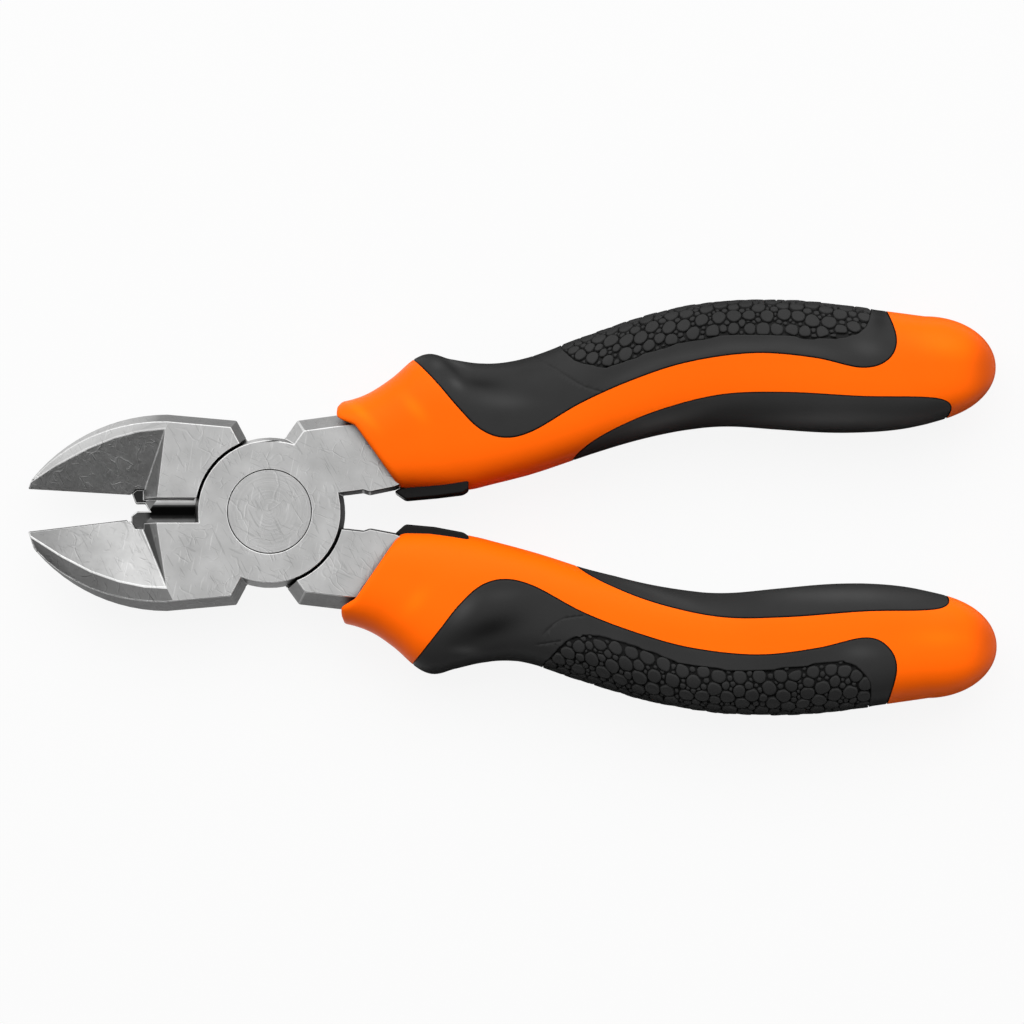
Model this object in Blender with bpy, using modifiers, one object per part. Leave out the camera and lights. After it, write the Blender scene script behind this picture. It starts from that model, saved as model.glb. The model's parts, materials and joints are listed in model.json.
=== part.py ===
"""Cutting pliers: two steel levers on a rivet, with two-part moulded handles.

The tool lies flat. +Z runs up along the rivet, towards the viewer. +X runs from the
rivet to the handles, and the jaws point along -X. z = 0 is the rear face of the joint.

Both halves of the tool are built in the same local frame, as the front half: its jaw
points down and its handle up. The rear half is turned over about the X axis, which
makes its jaw the upper one and its handle the lower one.
"""

import math

import bmesh
import bpy
from mathutils import Matrix, Vector

MM = 0.001

# Joint. Each lever has a disc of half the joint's thickness, and the other lever's
# disc turns in a seat cut round it.
JOINT_THICKNESS = 11.0
LAP_GAP = 0.3
DISC_RADIUS = 13.25
DISC_DRAFT = 0.75
SEAT_GAP = 0.5
RIVET_HEAD_RADIUS = 7.65
RIVET_HEAD_DEPTH = 2.4
RIVET_SHANK_RADIUS = 4.6
RIVET_EDGE = 0.2
HEAD_GAP = 0.15
RUNNING_CLEARANCE = 0.08

# Jaws. The back of a jaw is one arc from its crest to the tip. The crest is where the
# straight shoulder starts. The closed cutting edges lie on a line that passes
# EDGE_OFFSET above the rivet's axis.
JAW_LENGTH = 44.9
JAW_HEIGHT = 18.3
JAW_CREST = 19.1
JAW_BACK_RADIUS = 32.3
JAW_DRAFT = 1.55
SHOULDER_REACH = 6.2
SHOULDER_HEIGHT = 17.15
JAW_SHOULDER_ANGLE = 17.5
EDGE_START = 25.9
EDGE_OFFSET = 1.8
FRONT_EDGE_ANGLE = 6.78
REAR_EDGE_ANGLE = 3.33
EDGE_LAND = 0.1
TIP_SLANT = 18.0

# Ground bevels of the cutting edges: each ends at a steep wall and runs up to a rim.
FRONT_POCKET_CORNER = (-19.05, -14.05)
REAR_POCKET_CORNER = (-19.65, -14.95)
POCKET_WALL_FOOT = (-20.8, -2.6)
POCKET_VALLEY = 3.0
CROWN_TILT = 26.0
CROWN_SLOPE = 2.7
CROWN_RADIUS = 41.5

# Throat, between the edges and the discs. A web on the rear lever lies behind the slot,
# and the front lever is relieved for it as the jaws close.
NOTCH_DEPTH = 1.0
NOTCH_WIDTH = 2.5
FRONT_THROAT = 2.0
REAR_THROAT = 2.5
WEB_REACH = 25.8
WEB_OVERLAP = 2.9
WEB_FACE_INSET = 1.0
WEB_NOTCH_WIDTH = 1.15
WEB_NOTCH_LENGTH = 2.3
WEB_CLEARANCE = 0.4

# Tangs. The root is as thick as the joint and shows between the disc and the sleeve.
# The tail is thinner and runs on inside the sleeve.
TANG_SHOULDER_ANGLE = 11.8
TANG_SHOULDER = (5.2, 17.1)
TANG_OUTER_END = (18.6, 18.8)
TANG_INNER_END = (28.0, 6.0)
TANG_INNER_EDGE = [(23.4, 4.0), (18.6, 3.05), (17.4, 3.45)]
TANG_INNER_ANGLE = 12.5
TANG_OUTER_DRAFT = 2.3
TANG_INNER_DRAFT = 0.4
TAIL_THICKNESS = 6.0
TAIL_LINE = [(15.0, 11.5), (26.0, 12.5), (45.0, 17.8), (62.0, 23.0), (78.0, 26.4), (95.0, 27.4)]
TAIL_ROOT_WIDTH = 12.0
TAIL_END_WIDTH = 5.0

# Handles: outlines of the moulded grip, seen from the front, before its small turn.
HANDLE_TURN = 0.53
HANDLE_OUTER = [
    (10.0, 20.1), (15.0, 20.8), (19.0, 22.3), (23.0, 25.1), (27.0, 28.65), (30.0, 29.7),
    (34.0, 28.7), (41.0, 27.4), (48.0, 28.35), (58.0, 31.9), (70.0, 35.75), (82.0, 38.0),
    (92.0, 38.55), (102.0, 38.1), (113.0, 36.65), (124.0, 35.1),
]
HANDLE_INNER = [
    (20.0, 3.9), (30.0, 3.9), (37.0, 4.0), (42.0, 5.2), (50.0, 7.5), (60.0, 10.8),
    (70.0, 13.45), (80.0, 15.05), (86.0, 15.3), (94.0, 14.7), (104.0, 14.0),
    (112.0, 14.05), (118.0, 14.6), (124.0, 15.8),
]
HANDLE_DEPTH = [(10.0, 8.0), (25.0, 8.6), (45.0, 9.2), (90.0, 9.2), (115.0, 8.8), (124.0, 8.4)]
HANDLE_END = 135.1
HANDLE_END_ROUNDING = 13.1
HANDLE_NEAR_END = 46.0
HANDLE_MOUTH_OUTER = 12.8
HANDLE_MOUTH_INNER = 24.4
HANDLE_SKEW_END = 50.0
MOUTH_ROUNDING = 1.3
SECTION_POWER = 2.7
RING_SIDES = 20

# Grips: where the soft material meets the hard sleeve on the front and the rear.
GRIP_THICKNESS = 2.4
PIECE_GAP = 0.3
OUTER_GRIP_EDGE = [
    (23.0, 31.5), (27.0, 27.5), (31.0, 23.1), (35.0, 18.3), (39.0, 14.55), (43.5, 13.1),
    (49.0, 14.4), (58.0, 19.4), (68.0, 23.6), (78.0, 26.5), (90.0, 27.9), (101.0, 26.9),
    (110.0, 25.0), (115.3, 26.7), (117.0, 31.0), (115.0, 38.5),
]
INNER_GRIP_EDGE = [
    (53.0, 5.0), (58.0, 10.8), (64.0, 14.75), (73.0, 18.2), (84.0, 20.6), (96.0, 20.8),
    (110.0, 19.9), (121.0, 19.45), (126.3, 18.3), (126.0, 14.5), (124.0, 10.0),
]

# Stop pads, which meet when the tool is closed.
PAD_NOSE = 23.8
PAD_END = 36.8
PAD_CLEARANCE = 0.3
PAD_TOP = [(36.8, 6.5), (30.0, 5.9), (23.8, 3.65)]
PAD_THICKNESS = 9.0
PAD_SLANT = 1.1
PAD_EDGE = 0.5

HARD_ORANGE = (1.0, 0.13, 0.002)
SOFT_BLACK = (0.022, 0.022, 0.022)
PAD_BLACK = (0.018, 0.018, 0.018)

LAP = JOINT_THICKNESS / 2
LAP_RADIUS = DISC_RADIUS + DISC_DRAFT
CLOSING_ANGLE = FRONT_EDGE_ANGLE + REAR_EDGE_ANGLE


def polar(radius, degrees):
    """A point at an angle from +X."""
    return (radius * math.cos(math.radians(degrees)), radius * math.sin(math.radians(degrees)))


def turned(point, degrees):
    """A point turned about the rivet's axis."""
    c, s = math.cos(math.radians(degrees)), math.sin(math.radians(degrees))
    return (c * point[0] - s * point[1], s * point[0] + c * point[1])


def curve_height(points, x):
    """The height at x of a smooth curve through points that run along X."""
    last = len(points) - 1
    i = 0
    while i < last - 1 and x > points[i + 1][0]:
        i += 1
    (x0, y0), (x1, y1) = points[i], points[i + 1]

    def slope(k):
        a, b = points[max(k - 1, 0)], points[min(k + 1, last)]
        return (b[1] - a[1]) / (b[0] - a[0])

    span = x1 - x0
    t = (x - x0) / span
    return (
        y0 * (1 + 2 * t) * (1 - t) ** 2
        + y1 * t * t * (3 - 2 * t)
        + slope(i) * span * t * (1 - t) ** 2
        + slope(i + 1) * span * t * t * (t - 1)
    )


def smooth_path(points, steps):
    """Points along a smooth open curve through the given ones."""
    ends = [points[0]] + list(points) + [points[-1]]
    path = []
    for i in range(1, len(ends) - 2):
        p = [Vector(ends[i + k]) for k in (-1, 0, 1, 2)]
        for step in range(steps):
            t = step / steps
            path.append(tuple(0.5 * (
                2 * p[1] + (p[2] - p[0]) * t
                + (2 * p[0] - 5 * p[1] + 4 * p[2] - p[3]) * t ** 2
                + (3 * p[1] - 3 * p[2] + p[3] - p[0]) * t ** 3
            )))
    path.append(tuple(points[-1]))
    return path


def moved_in(outline, insets):
    """An anticlockwise outline with each side moved inwards by its own distance."""
    count = len(outline)
    lines = []
    for i in range(count):
        a, b = Vector(outline[i]), Vector(outline[(i + 1) % count])
        along = (b - a).normalized()
        lines.append((a + Vector((-along.y, along.x)) * insets[i], along))
    moved = []
    for i in range(count):
        (p, d), (q, e) = lines[i - 1], lines[i]
        cross = d.x * e.y - d.y * e.x
        if abs(cross) < 1e-6:
            moved.append(tuple(q))
        else:
            moved.append(tuple(p + d * (((q - p).x * e.y - (q - p).y * e.x) / cross)))
    return moved


def grown(outline, distance):
    """The outline moved outwards all round."""
    return moved_in(outline, [-distance] * len(outline))


def empty(name, parent=None):
    node = bpy.data.objects.new(name, None)
    node.empty_display_size = 0.02
    parts.objects.link(node)
    node.parent = parent
    return node


def make_object(name, bm, collection, parent):
    """Turns a bmesh in millimetres into an object in metres."""
    bmesh.ops.scale(bm, vec=(MM, MM, MM), verts=bm.verts)
    bmesh.ops.recalc_face_normals(bm, faces=bm.faces)
    mesh = bpy.data.meshes.new(name)
    bm.to_mesh(mesh)
    bm.free()
    node = bpy.data.objects.new(name, mesh)
    collection.objects.link(node)
    node.parent = parent
    if collection is cutters:
        node.hide_render = True
        node.display_type = "WIRE"
    return node


def loft(name, rings, collection, parent):
    """Joins rings with equal counts of points, and closes both ends."""
    bm = bmesh.new()
    loops = [[bm.verts.new(point) for point in ring] for ring in rings]
    count = len(loops[0])
    for low, high in zip(loops, loops[1:]):
        for k in range(count):
            bm.faces.new((low[k], low[(k + 1) % count], high[(k + 1) % count], high[k]))
    bm.faces.new(loops[0][::-1])
    bm.faces.new(loops[-1])
    return make_object(name, bm, collection, parent)


def plate(name, outline, low, high, collection, parent, insets=None):
    """A flat piece. With insets its sides lean in from the middle to both faces."""
    if insets is None:
        rings = [(outline, low), (outline, high)]
    else:
        face = moved_in(outline, insets)
        rings = [(face, low), (outline, (low + high) / 2), (face, high)]
    return loft(name, [[(x, y, z) for x, y in ring] for ring, z in rings], collection, parent)


def cone(name, low_radius, high_radius, low, high, sides, collection, parent):
    bm = bmesh.new()
    bmesh.ops.create_cone(
        bm, cap_ends=True, segments=sides, radius1=low_radius, radius2=high_radius,
        depth=high - low, matrix=Matrix.Translation((0, 0, (low + high) / 2)),
    )
    return make_object(name, bm, collection, parent)


def corner_block(name, planes, size, collection, parent):
    """The convex space behind each plane, given as a point on it and a normal out of it."""
    bm = bmesh.new()
    bmesh.ops.create_cube(bm, size=size)
    for point, normal in planes:
        found = bmesh.ops.bisect_plane(
            bm, geom=bm.verts[:] + bm.edges[:] + bm.faces[:], plane_co=point,
            plane_no=normal, clear_outer=True,
        )
        rim = [item for item in found["geom_cut"] if isinstance(item, bmesh.types.BMEdge)]
        bmesh.ops.holes_fill(bm, edges=rim)
    return make_object(name, bm, collection, parent)


def combine(node, other, operation):
    modifier = node.modifiers.new(other.name, "BOOLEAN")
    modifier.operation = operation
    modifier.object = other


def duplicate(node, name, collection, parent):
    copy = bpy.data.objects.new(name, node.data.copy())
    collection.objects.link(copy)
    copy.parent = parent
    if collection is cutters:
        copy.hide_render = True
        copy.display_type = "WIRE"
    return copy


def material(name, color, roughness, metallic):
    made = bpy.data.materials.new(name)
    made.use_nodes = True
    shader = made.node_tree.nodes["Principled BSDF"]
    shader.inputs["Base Color"].default_value = (*color, 1.0)
    shader.inputs["Roughness"].default_value = roughness
    shader.inputs["Metallic"].default_value = metallic
    return made


def finish(node, surface, crease=30.0):
    node.data.materials.clear()
    node.data.materials.append(surface)
    node.data.shade_smooth()
    node.data.set_sharp_from_angle(angle=math.radians(crease))


def edge_height(x, angle, offset):
    """Height of a cutting edge at x, on its line past the rivet's axis."""
    return offset / math.cos(math.radians(angle)) + x * math.tan(math.radians(angle))


def jaw_plate(prefix, half, angle, offset, throat):
    """A jaw at full thickness, with leaning sides at its back and its shoulder."""
    centre = (-JAW_CREST, JAW_BACK_RADIUS - JAW_HEIGHT)
    lean = math.radians(angle)
    line = Vector((math.cos(lean), math.sin(lean)))
    start = Vector((0, edge_height(0, angle, offset))) - Vector(centre)
    along = start.dot(line)
    reach = along + math.sqrt(along ** 2 - start.length_squared + JAW_BACK_RADIUS ** 2)
    tip = start - reach * line
    first, last = math.degrees(math.atan2(tip.y, tip.x)) % 360, 270.0
    steps = 14
    back = [
        (Vector(centre) + Vector(polar(JAW_BACK_RADIUS, first + (last - first) * k / steps)))[:]
        for k in range(steps + 1)
    ]
    foot = polar(LAP_RADIUS + 0.2, 270 - JAW_SHOULDER_ANGLE)
    edge_end = (-EDGE_START, edge_height(-EDGE_START, angle, offset))
    notch = min(edge_end[1], -throat) - NOTCH_DEPTH
    outline = back + [
        (-SHOULDER_REACH, -SHOULDER_HEIGHT),
        foot,
        (-DISC_RADIUS / 3, -DISC_RADIUS / 2),
        (-DISC_RADIUS / 2, -throat),
        (-EDGE_START + NOTCH_WIDTH, -throat),
        (-EDGE_START + NOTCH_WIDTH, notch),
        (-EDGE_START + NOTCH_DEPTH, notch),
        edge_end,
    ]
    insets = [JAW_DRAFT] * (steps + 2) + [0] * (len(outline) - steps - 2)
    return plate(prefix + "_jaw", outline, 0, JOINT_THICKNESS, cutters, half, insets)


def jaw_cutters(prefix, half, angle, offset, pocket):
    """The crowns, bevels and tip that shape both sides of a jaw."""
    made = []
    lean = math.radians(angle)
    outward = Vector((math.sin(lean), -math.cos(lean), 0))
    edge = Vector((0, edge_height(0, angle, offset), 0))
    corner = Vector((*pocket, 0))
    rise = (LAP - EDGE_LAND / 2) / (corner - edge).dot(outward)
    for side in (1, -1):
        up = Vector((0, 0, side))
        middle = Vector((0, 0, LAP))
        bevel = outward * rise - up
        root = edge + middle + up * EDGE_LAND / 2
        top = middle + up * LAP
        foot = Vector((*POCKET_WALL_FOOT, 0))
        valley = foot + Vector((-POCKET_VALLEY, 0, 0))
        valley_rise = (valley - edge).dot(outward) * rise + EDGE_LAND / 2
        wall = (corner - foot).cross(valley + middle + up * valley_rise - foot - top)
        if wall.x < 0:
            wall = -wall
        made.append(corner_block(
            f"{prefix}_bevel_{'front' if side > 0 else 'rear'}",
            [(root, bevel), (foot + top, wall), (edge - outward * NOTCH_DEPTH, -outward)],
            JAW_LENGTH * 4, cutters, half,
        ))
        normal = Vector(polar(1, 180 + CROWN_TILT)).to_3d()
        across = Vector((-normal.y, normal.x, 0))
        reach = JAW_LENGTH
        profile = []
        steps = 12
        for k in range(steps + 1):
            d = reach * k / steps
            drop = d * math.tan(math.radians(CROWN_SLOPE)) + d * d / (2 * CROWN_RADIUS)
            profile.append((d, LAP - drop))
        profile += [(reach, LAP * 2), (0, LAP * 2)]
        rings = []
        for width in (-JAW_LENGTH, JAW_LENGTH):
            rings.append([
                corner + normal * d + across * width + middle + up * h for d, h in profile
            ])
        made.append(loft(
            f"{prefix}_crown_{'front' if side > 0 else 'rear'}", rings, cutters, half,
        ))
    tip = Vector((-JAW_LENGTH, edge_height(-JAW_LENGTH, angle, offset), 0))
    made.append(corner_block(
        prefix + "_tip", [(tip, Vector(polar(1, TIP_SLANT)).to_3d())],
        JAW_LENGTH * 4, cutters, half,
    ))
    return made


def tang_outlines():
    """The root and the tail of a tang, both anticlockwise, and the root's insets."""
    foot = polar(LAP_RADIUS + 0.2, 90 - TANG_SHOULDER_ANGLE)
    start = polar(LAP_RADIUS - 0.4, TANG_INNER_ANGLE)
    root = [
        (DISC_RADIUS / 2, start[1]), start, *TANG_INNER_EDGE[::-1], TANG_INNER_END,
        TANG_OUTER_END, TANG_SHOULDER, foot, (DISC_RADIUS * 0.42, DISC_RADIUS * 0.45),
    ]
    inner, outer = TANG_INNER_DRAFT, TANG_OUTER_DRAFT
    insets = [0] + [inner] * (len(TANG_INNER_EDGE) + 1) + [0, outer, outer, 0, 0]
    path = smooth_path(TAIL_LINE, 3)
    sides = ([], [])
    for i, point in enumerate(path):
        a, b = path[max(i - 1, 0)], path[min(i + 1, len(path) - 1)]
        along = (Vector(b) - Vector(a)).normalized()
        share = i / (len(path) - 1)
        half_width = (TAIL_ROOT_WIDTH * (1 - share) + TAIL_END_WIDTH * share) / 2
        out = Vector((-along.y, along.x)) * half_width
        sides[0].append(tuple(Vector(point) - out))
        sides[1].append(tuple(Vector(point) + out))
    return root, insets, sides[0] + sides[1][::-1]


def web_outlines():
    """The web of the rear lever, and the space that it sweeps in the front lever."""
    foot = -edge_height(-EDGE_START, REAR_EDGE_ANGLE, -EDGE_OFFSET)
    start = -DISC_RADIUS * 0.8
    lip = WEB_NOTCH_WIDTH / 2
    web = [
        (start, -DISC_RADIUS / 2), (start, WEB_OVERLAP), (-WEB_REACH + 0.8, WEB_OVERLAP),
        (-WEB_REACH, WEB_OVERLAP - 0.6), (-WEB_REACH, lip), (-WEB_REACH + 1.1, -lip / 2),
        (-WEB_REACH + 1.1 + WEB_NOTCH_LENGTH, -lip / 2),
        (-WEB_REACH + 0.3 + WEB_NOTCH_LENGTH, -lip - WEB_NOTCH_WIDTH),
        (-WEB_REACH + 0.8, -lip - WEB_NOTCH_WIDTH), (-EDGE_START + 0.1, -foot - 0.6),
        (-EDGE_START + NOTCH_WIDTH, -foot - 1.5), (POCKET_WALL_FOOT[0] + 2, -DISC_RADIUS / 2),
    ]
    reach = math.hypot(EDGE_START, foot) + WEB_CLEARANCE
    low = math.degrees(math.atan2(WEB_OVERLAP, WEB_REACH))
    swept = [
        polar(reach, 180 - low + (2 * low + CLOSING_ANGLE + 1) * k / 6) for k in range(7)
    ]
    end = Vector(turned((start, -WEB_OVERLAP - WEB_CLEARANCE), CLOSING_ANGLE))
    relief = [(end.x, WEB_OVERLAP)] + swept + [tuple(end)]
    return web, relief


def build_lever(name, half, angle, offset, throat, pocket, surface):
    """One steel lever: disc, jaw and tang joined, then cut for its partner and rivet."""
    half_low = LAP + LAP_GAP / 2
    lever = cone(name, LAP_RADIUS, DISC_RADIUS, half_low, JOINT_THICKNESS, 72, parts, half)
    combine(lever, jaw_plate(name, half, angle, offset, throat), "UNION")
    root, insets, tail = tang_outlines()
    turn = math.radians(HANDLE_TURN if half is front_half else -HANDLE_TURN)
    for label, outline, thickness, leans in (
        ("root", root, JOINT_THICKNESS, insets), ("tail", tail, TAIL_THICKNESS, None),
    ):
        low, high = LAP - thickness / 2, LAP + thickness / 2
        joined = plate(f"{name}_{label}", outline, low, high, cutters, half, leans)
        joined.rotation_euler.z = turn
        combine(lever, joined, "UNION")
    lean = DISC_DRAFT / (JOINT_THICKNESS - half_low)
    seat = LAP_RADIUS + SEAT_GAP
    combine(lever, cone(
        name + "_seat", seat - lean * (half_low + 1), seat, -1, half_low, 72, cutters, half,
    ), "DIFFERENCE")
    for cutter in jaw_cutters(name, half, angle, offset, pocket):
        combine(lever, cutter, "DIFFERENCE")
    web, relief = web_outlines()
    if half is rear_half:
        combine(lever, plate(
            name + "_web", web, half_low, JOINT_THICKNESS - WEB_FACE_INSET, cutters, half,
        ), "UNION")
        bore = RIVET_SHANK_RADIUS + RUNNING_CLEARANCE
    else:
        combine(lever, plate(
            name + "_relief", relief, -1, half_low, cutters, half,
        ), "DIFFERENCE")
        bore = RIVET_SHANK_RADIUS + HEAD_GAP
    combine(lever, cone(
        name + "_bore", bore, bore, -1, JOINT_THICKNESS + 1, 64, cutters, half,
    ), "DIFFERENCE")
    head = RIVET_HEAD_RADIUS + HEAD_GAP
    combine(lever, cone(
        name + "_counterbore", head, head, JOINT_THICKNESS - RIVET_HEAD_DEPTH - HEAD_GAP,
        JOINT_THICKNESS + 1, 64, cutters, half,
    ), "DIFFERENCE")
    finish(lever, surface)
    return lever


def build_rivet(surface):
    """A stepped rivet, turned as one profile that runs down its outer side."""
    top, head = JOINT_THICKNESS, RIVET_HEAD_RADIUS
    profile = [
        (0, top), (head - RIVET_EDGE, top), (head, top - RIVET_EDGE),
        (head, top - RIVET_HEAD_DEPTH), (RIVET_SHANK_RADIUS, top - RIVET_HEAD_DEPTH),
        (RIVET_SHANK_RADIUS, RIVET_HEAD_DEPTH), (head, RIVET_HEAD_DEPTH),
        (head, RIVET_EDGE), (head - RIVET_EDGE, 0), (0, 0),
    ]
    mesh = bpy.data.meshes.new("pivot_rivet")
    mesh.from_pydata(
        [(x * MM, 0, z * MM) for x, z in profile],
        [(i, i + 1) for i in range(len(profile) - 1)], [],
    )
    rivet = bpy.data.objects.new("pivot_rivet", mesh)
    parts.objects.link(rivet)
    rivet.parent = front_half
    screw = rivet.modifiers.new("turned", "SCREW")
    screw.steps = screw.render_steps = 64
    screw.use_merge_vertices = True
    screw.merge_threshold = 0.00001
    rivet.data.materials.append(surface)
    return rivet


def handle_rings(inset):
    """Sections of a handle, each moved in by the inset, from its mouth to its end."""
    stations = []
    for share, size in ((0.0, 0.925), (0.35, 0.975), (1.0, 1.0)):
        stations.append((HANDLE_MOUTH_OUTER + share * MOUTH_ROUNDING, size))
    body_start = HANDLE_MOUTH_OUTER + 2 * MOUTH_ROUNDING
    body_end = HANDLE_END - HANDLE_END_ROUNDING
    steps = 12
    for k in range(steps):
        stations.append((body_start + (HANDLE_NEAR_END - body_start) * k / steps, 1.0))
    for k in range(steps + 1):
        stations.append((HANDLE_NEAR_END + (body_end - HANDLE_NEAR_END) * k / steps, 1.0))
    for degrees in (20, 38, 54, 68, 79, 86):
        x = body_end + HANDLE_END_ROUNDING * math.sin(math.radians(degrees))
        stations.append((x, math.cos(math.radians(degrees))))
    rings = []
    for x, size in stations:
        span = (x - HANDLE_MOUTH_OUTER) / (HANDLE_SKEW_END - HANDLE_MOUTH_OUTER)
        fade = 1 - max(0.0, min(1.0, span))
        skew = (HANDLE_MOUTH_INNER - HANDLE_MOUTH_OUTER) * fade * fade * (3 - 2 * fade)
        flat = min(x, body_end)
        outer = Vector((x, curve_height(HANDLE_OUTER, flat)))
        inner = Vector((x + skew, curve_height(HANDLE_INNER, min(x + skew, body_end))))
        depth = curve_height(HANDLE_DEPTH, flat) * size - inset
        centre = (outer + inner) / 2
        across = (outer - inner) / 2 * size
        across -= across.normalized() * inset
        if across.length < 0.3 or depth < 0.3 or across.dot(outer - inner) < 0:
            continue
        ring = []
        for k in range(RING_SIDES):
            angle = 2 * math.pi * (k + 0.5) / RING_SIDES
            c, s = math.cos(angle), math.sin(angle)
            a = math.copysign(abs(c) ** (2 / SECTION_POWER), c)
            b = math.copysign(abs(s) ** (2 / SECTION_POWER), s)
            ring.append((*(centre + across * a), LAP + depth * b))
        rings.append(ring)
    return rings


def region(name, edge, beyond, distance, half):
    """A block through the handle, on one side of a drawn edge."""
    outline = smooth_path(edge, 4)
    outline += [(edge[-1][0], beyond), (edge[0][0], beyond)]
    area = sum(
        a[0] * b[1] - a[1] * b[0] for a, b in zip(outline, outline[1:] + outline[:1])
    )
    if area < 0:
        outline.reverse()
    thick = max(depth for x, depth in HANDLE_DEPTH) + 2
    if distance:
        outline = grown(outline, distance)
    return plate(name, outline, LAP - thick, LAP + thick, cutters, half)


def pad_outline():
    """A stop pad. Its face lies on half the closing angle, so two pads meet flat."""
    half_angle = math.radians(CLOSING_ANGLE / 2)

    def face(x):
        return x * math.tan(half_angle) + PAD_CLEARANCE / 2 / math.cos(half_angle)

    return [
        (PAD_NOSE, face(PAD_NOSE) + 0.9), (PAD_NOSE + PAD_SLANT, face(PAD_NOSE + PAD_SLANT)),
        (PAD_END - PAD_SLANT, face(PAD_END - PAD_SLANT)), (PAD_END, face(PAD_END) + 0.9),
        *PAD_TOP,
    ]


def build_handle(label, half):
    """The hard sleeve over a tang, its two soft grips and its stop pad."""
    def own(surface, color, roughness):
        return material(f"{label}_{surface}", color, roughness, 0.0)

    turn = math.radians(HANDLE_TURN if half is front_half else -HANDLE_TURN)
    carrier = empty(label + "_handle", half)
    carrier.rotation_euler.z = turn
    sleeve = loft(label + "_handle_sleeve", handle_rings(0), parts, carrier)
    core = loft(label + "_core", handle_rings(GRIP_THICKNESS), cutters, carrier)
    pocket_core = loft(
        label + "_pocket_core", handle_rings(GRIP_THICKNESS + PIECE_GAP), cutters, carrier,
    )
    top = max(y for x, y in HANDLE_OUTER) + 5
    for side, edge, beyond in (
        ("outer", OUTER_GRIP_EDGE, top), ("inner", INNER_GRIP_EDGE, -5.0),
    ):
        grip = duplicate(sleeve, f"{label}_{side}_grip", parts, carrier)
        combine(grip, region(f"{label}_{side}_region", edge, beyond, 0, carrier), "INTERSECT")
        combine(grip, core, "DIFFERENCE")
        finish(grip, own(side + "_soft_black", SOFT_BLACK, 0.55))
        pocket = region(f"{label}_{side}_pocket", edge, beyond, PIECE_GAP, carrier)
        combine(pocket, pocket_core, "DIFFERENCE")
        combine(sleeve, pocket, "DIFFERENCE")
    root, insets, tail = tang_outlines()
    for name, outline, thickness, leans in (
        ("root", root, JOINT_THICKNESS, insets), ("tail", tail, TAIL_THICKNESS, None),
    ):
        low, high = LAP - thickness / 2 - PIECE_GAP, LAP + thickness / 2 + PIECE_GAP
        combine(sleeve, plate(
            f"{label}_{name}_space", grown(outline, PIECE_GAP), low, high, cutters, carrier, leans,
        ), "DIFFERENCE")
    outline = pad_outline()
    low, high = LAP - PAD_THICKNESS / 2, LAP + PAD_THICKNESS / 2
    combine(sleeve, plate(
        label + "_pad_space", grown(outline, PIECE_GAP), low - PIECE_GAP, high + PIECE_GAP,
        cutters, carrier,
    ), "DIFFERENCE")
    finish(sleeve, own("hard_orange", HARD_ORANGE, 0.38))
    pad = plate(label + "_stop_pad", outline, low, high, parts, carrier)
    bevel = pad.modifiers.new("edges", "BEVEL")
    bevel.width = PAD_EDGE * MM
    bevel.segments = 1
    finish(pad, own("pad_black", PAD_BLACK, 0.5))


for node in list(bpy.data.objects):
    bpy.data.objects.remove(node, do_unlink=True)

parts = bpy.data.collections.new("cutting_pliers")
cutters = bpy.data.collections.new("cutters")
bpy.context.scene.collection.children.link(parts)
bpy.context.scene.collection.children.link(cutters)

front_steel = material("front_steel", (0.48, 0.48, 0.47), 0.34, 1.0)
rear_steel = material("rear_steel", (0.48, 0.48, 0.47), 0.34, 1.0)
rivet_steel = material("rivet_steel", (0.52, 0.52, 0.51), 0.30, 1.0)

front_half = empty("front_half")
rear_half = empty("rear_half")
rear_half.location.z = JOINT_THICKNESS * MM
rear_half.rotation_euler.x = math.pi

build_lever(
    "front_lever", front_half, FRONT_EDGE_ANGLE, EDGE_OFFSET, FRONT_THROAT,
    FRONT_POCKET_CORNER, front_steel,
)
build_lever(
    "rear_lever", rear_half, REAR_EDGE_ANGLE, -EDGE_OFFSET, REAR_THROAT,
    REAR_POCKET_CORNER, rear_steel,
)
build_rivet(rivet_steel)
build_handle("upper", front_half)
build_handle("lower", rear_half)
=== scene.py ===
"""Looks of the cutting pliers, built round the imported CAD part."""

import itertools
import json
import math

import bmesh
import bpy
import numpy as np
from mathutils import Matrix, Vector

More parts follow.
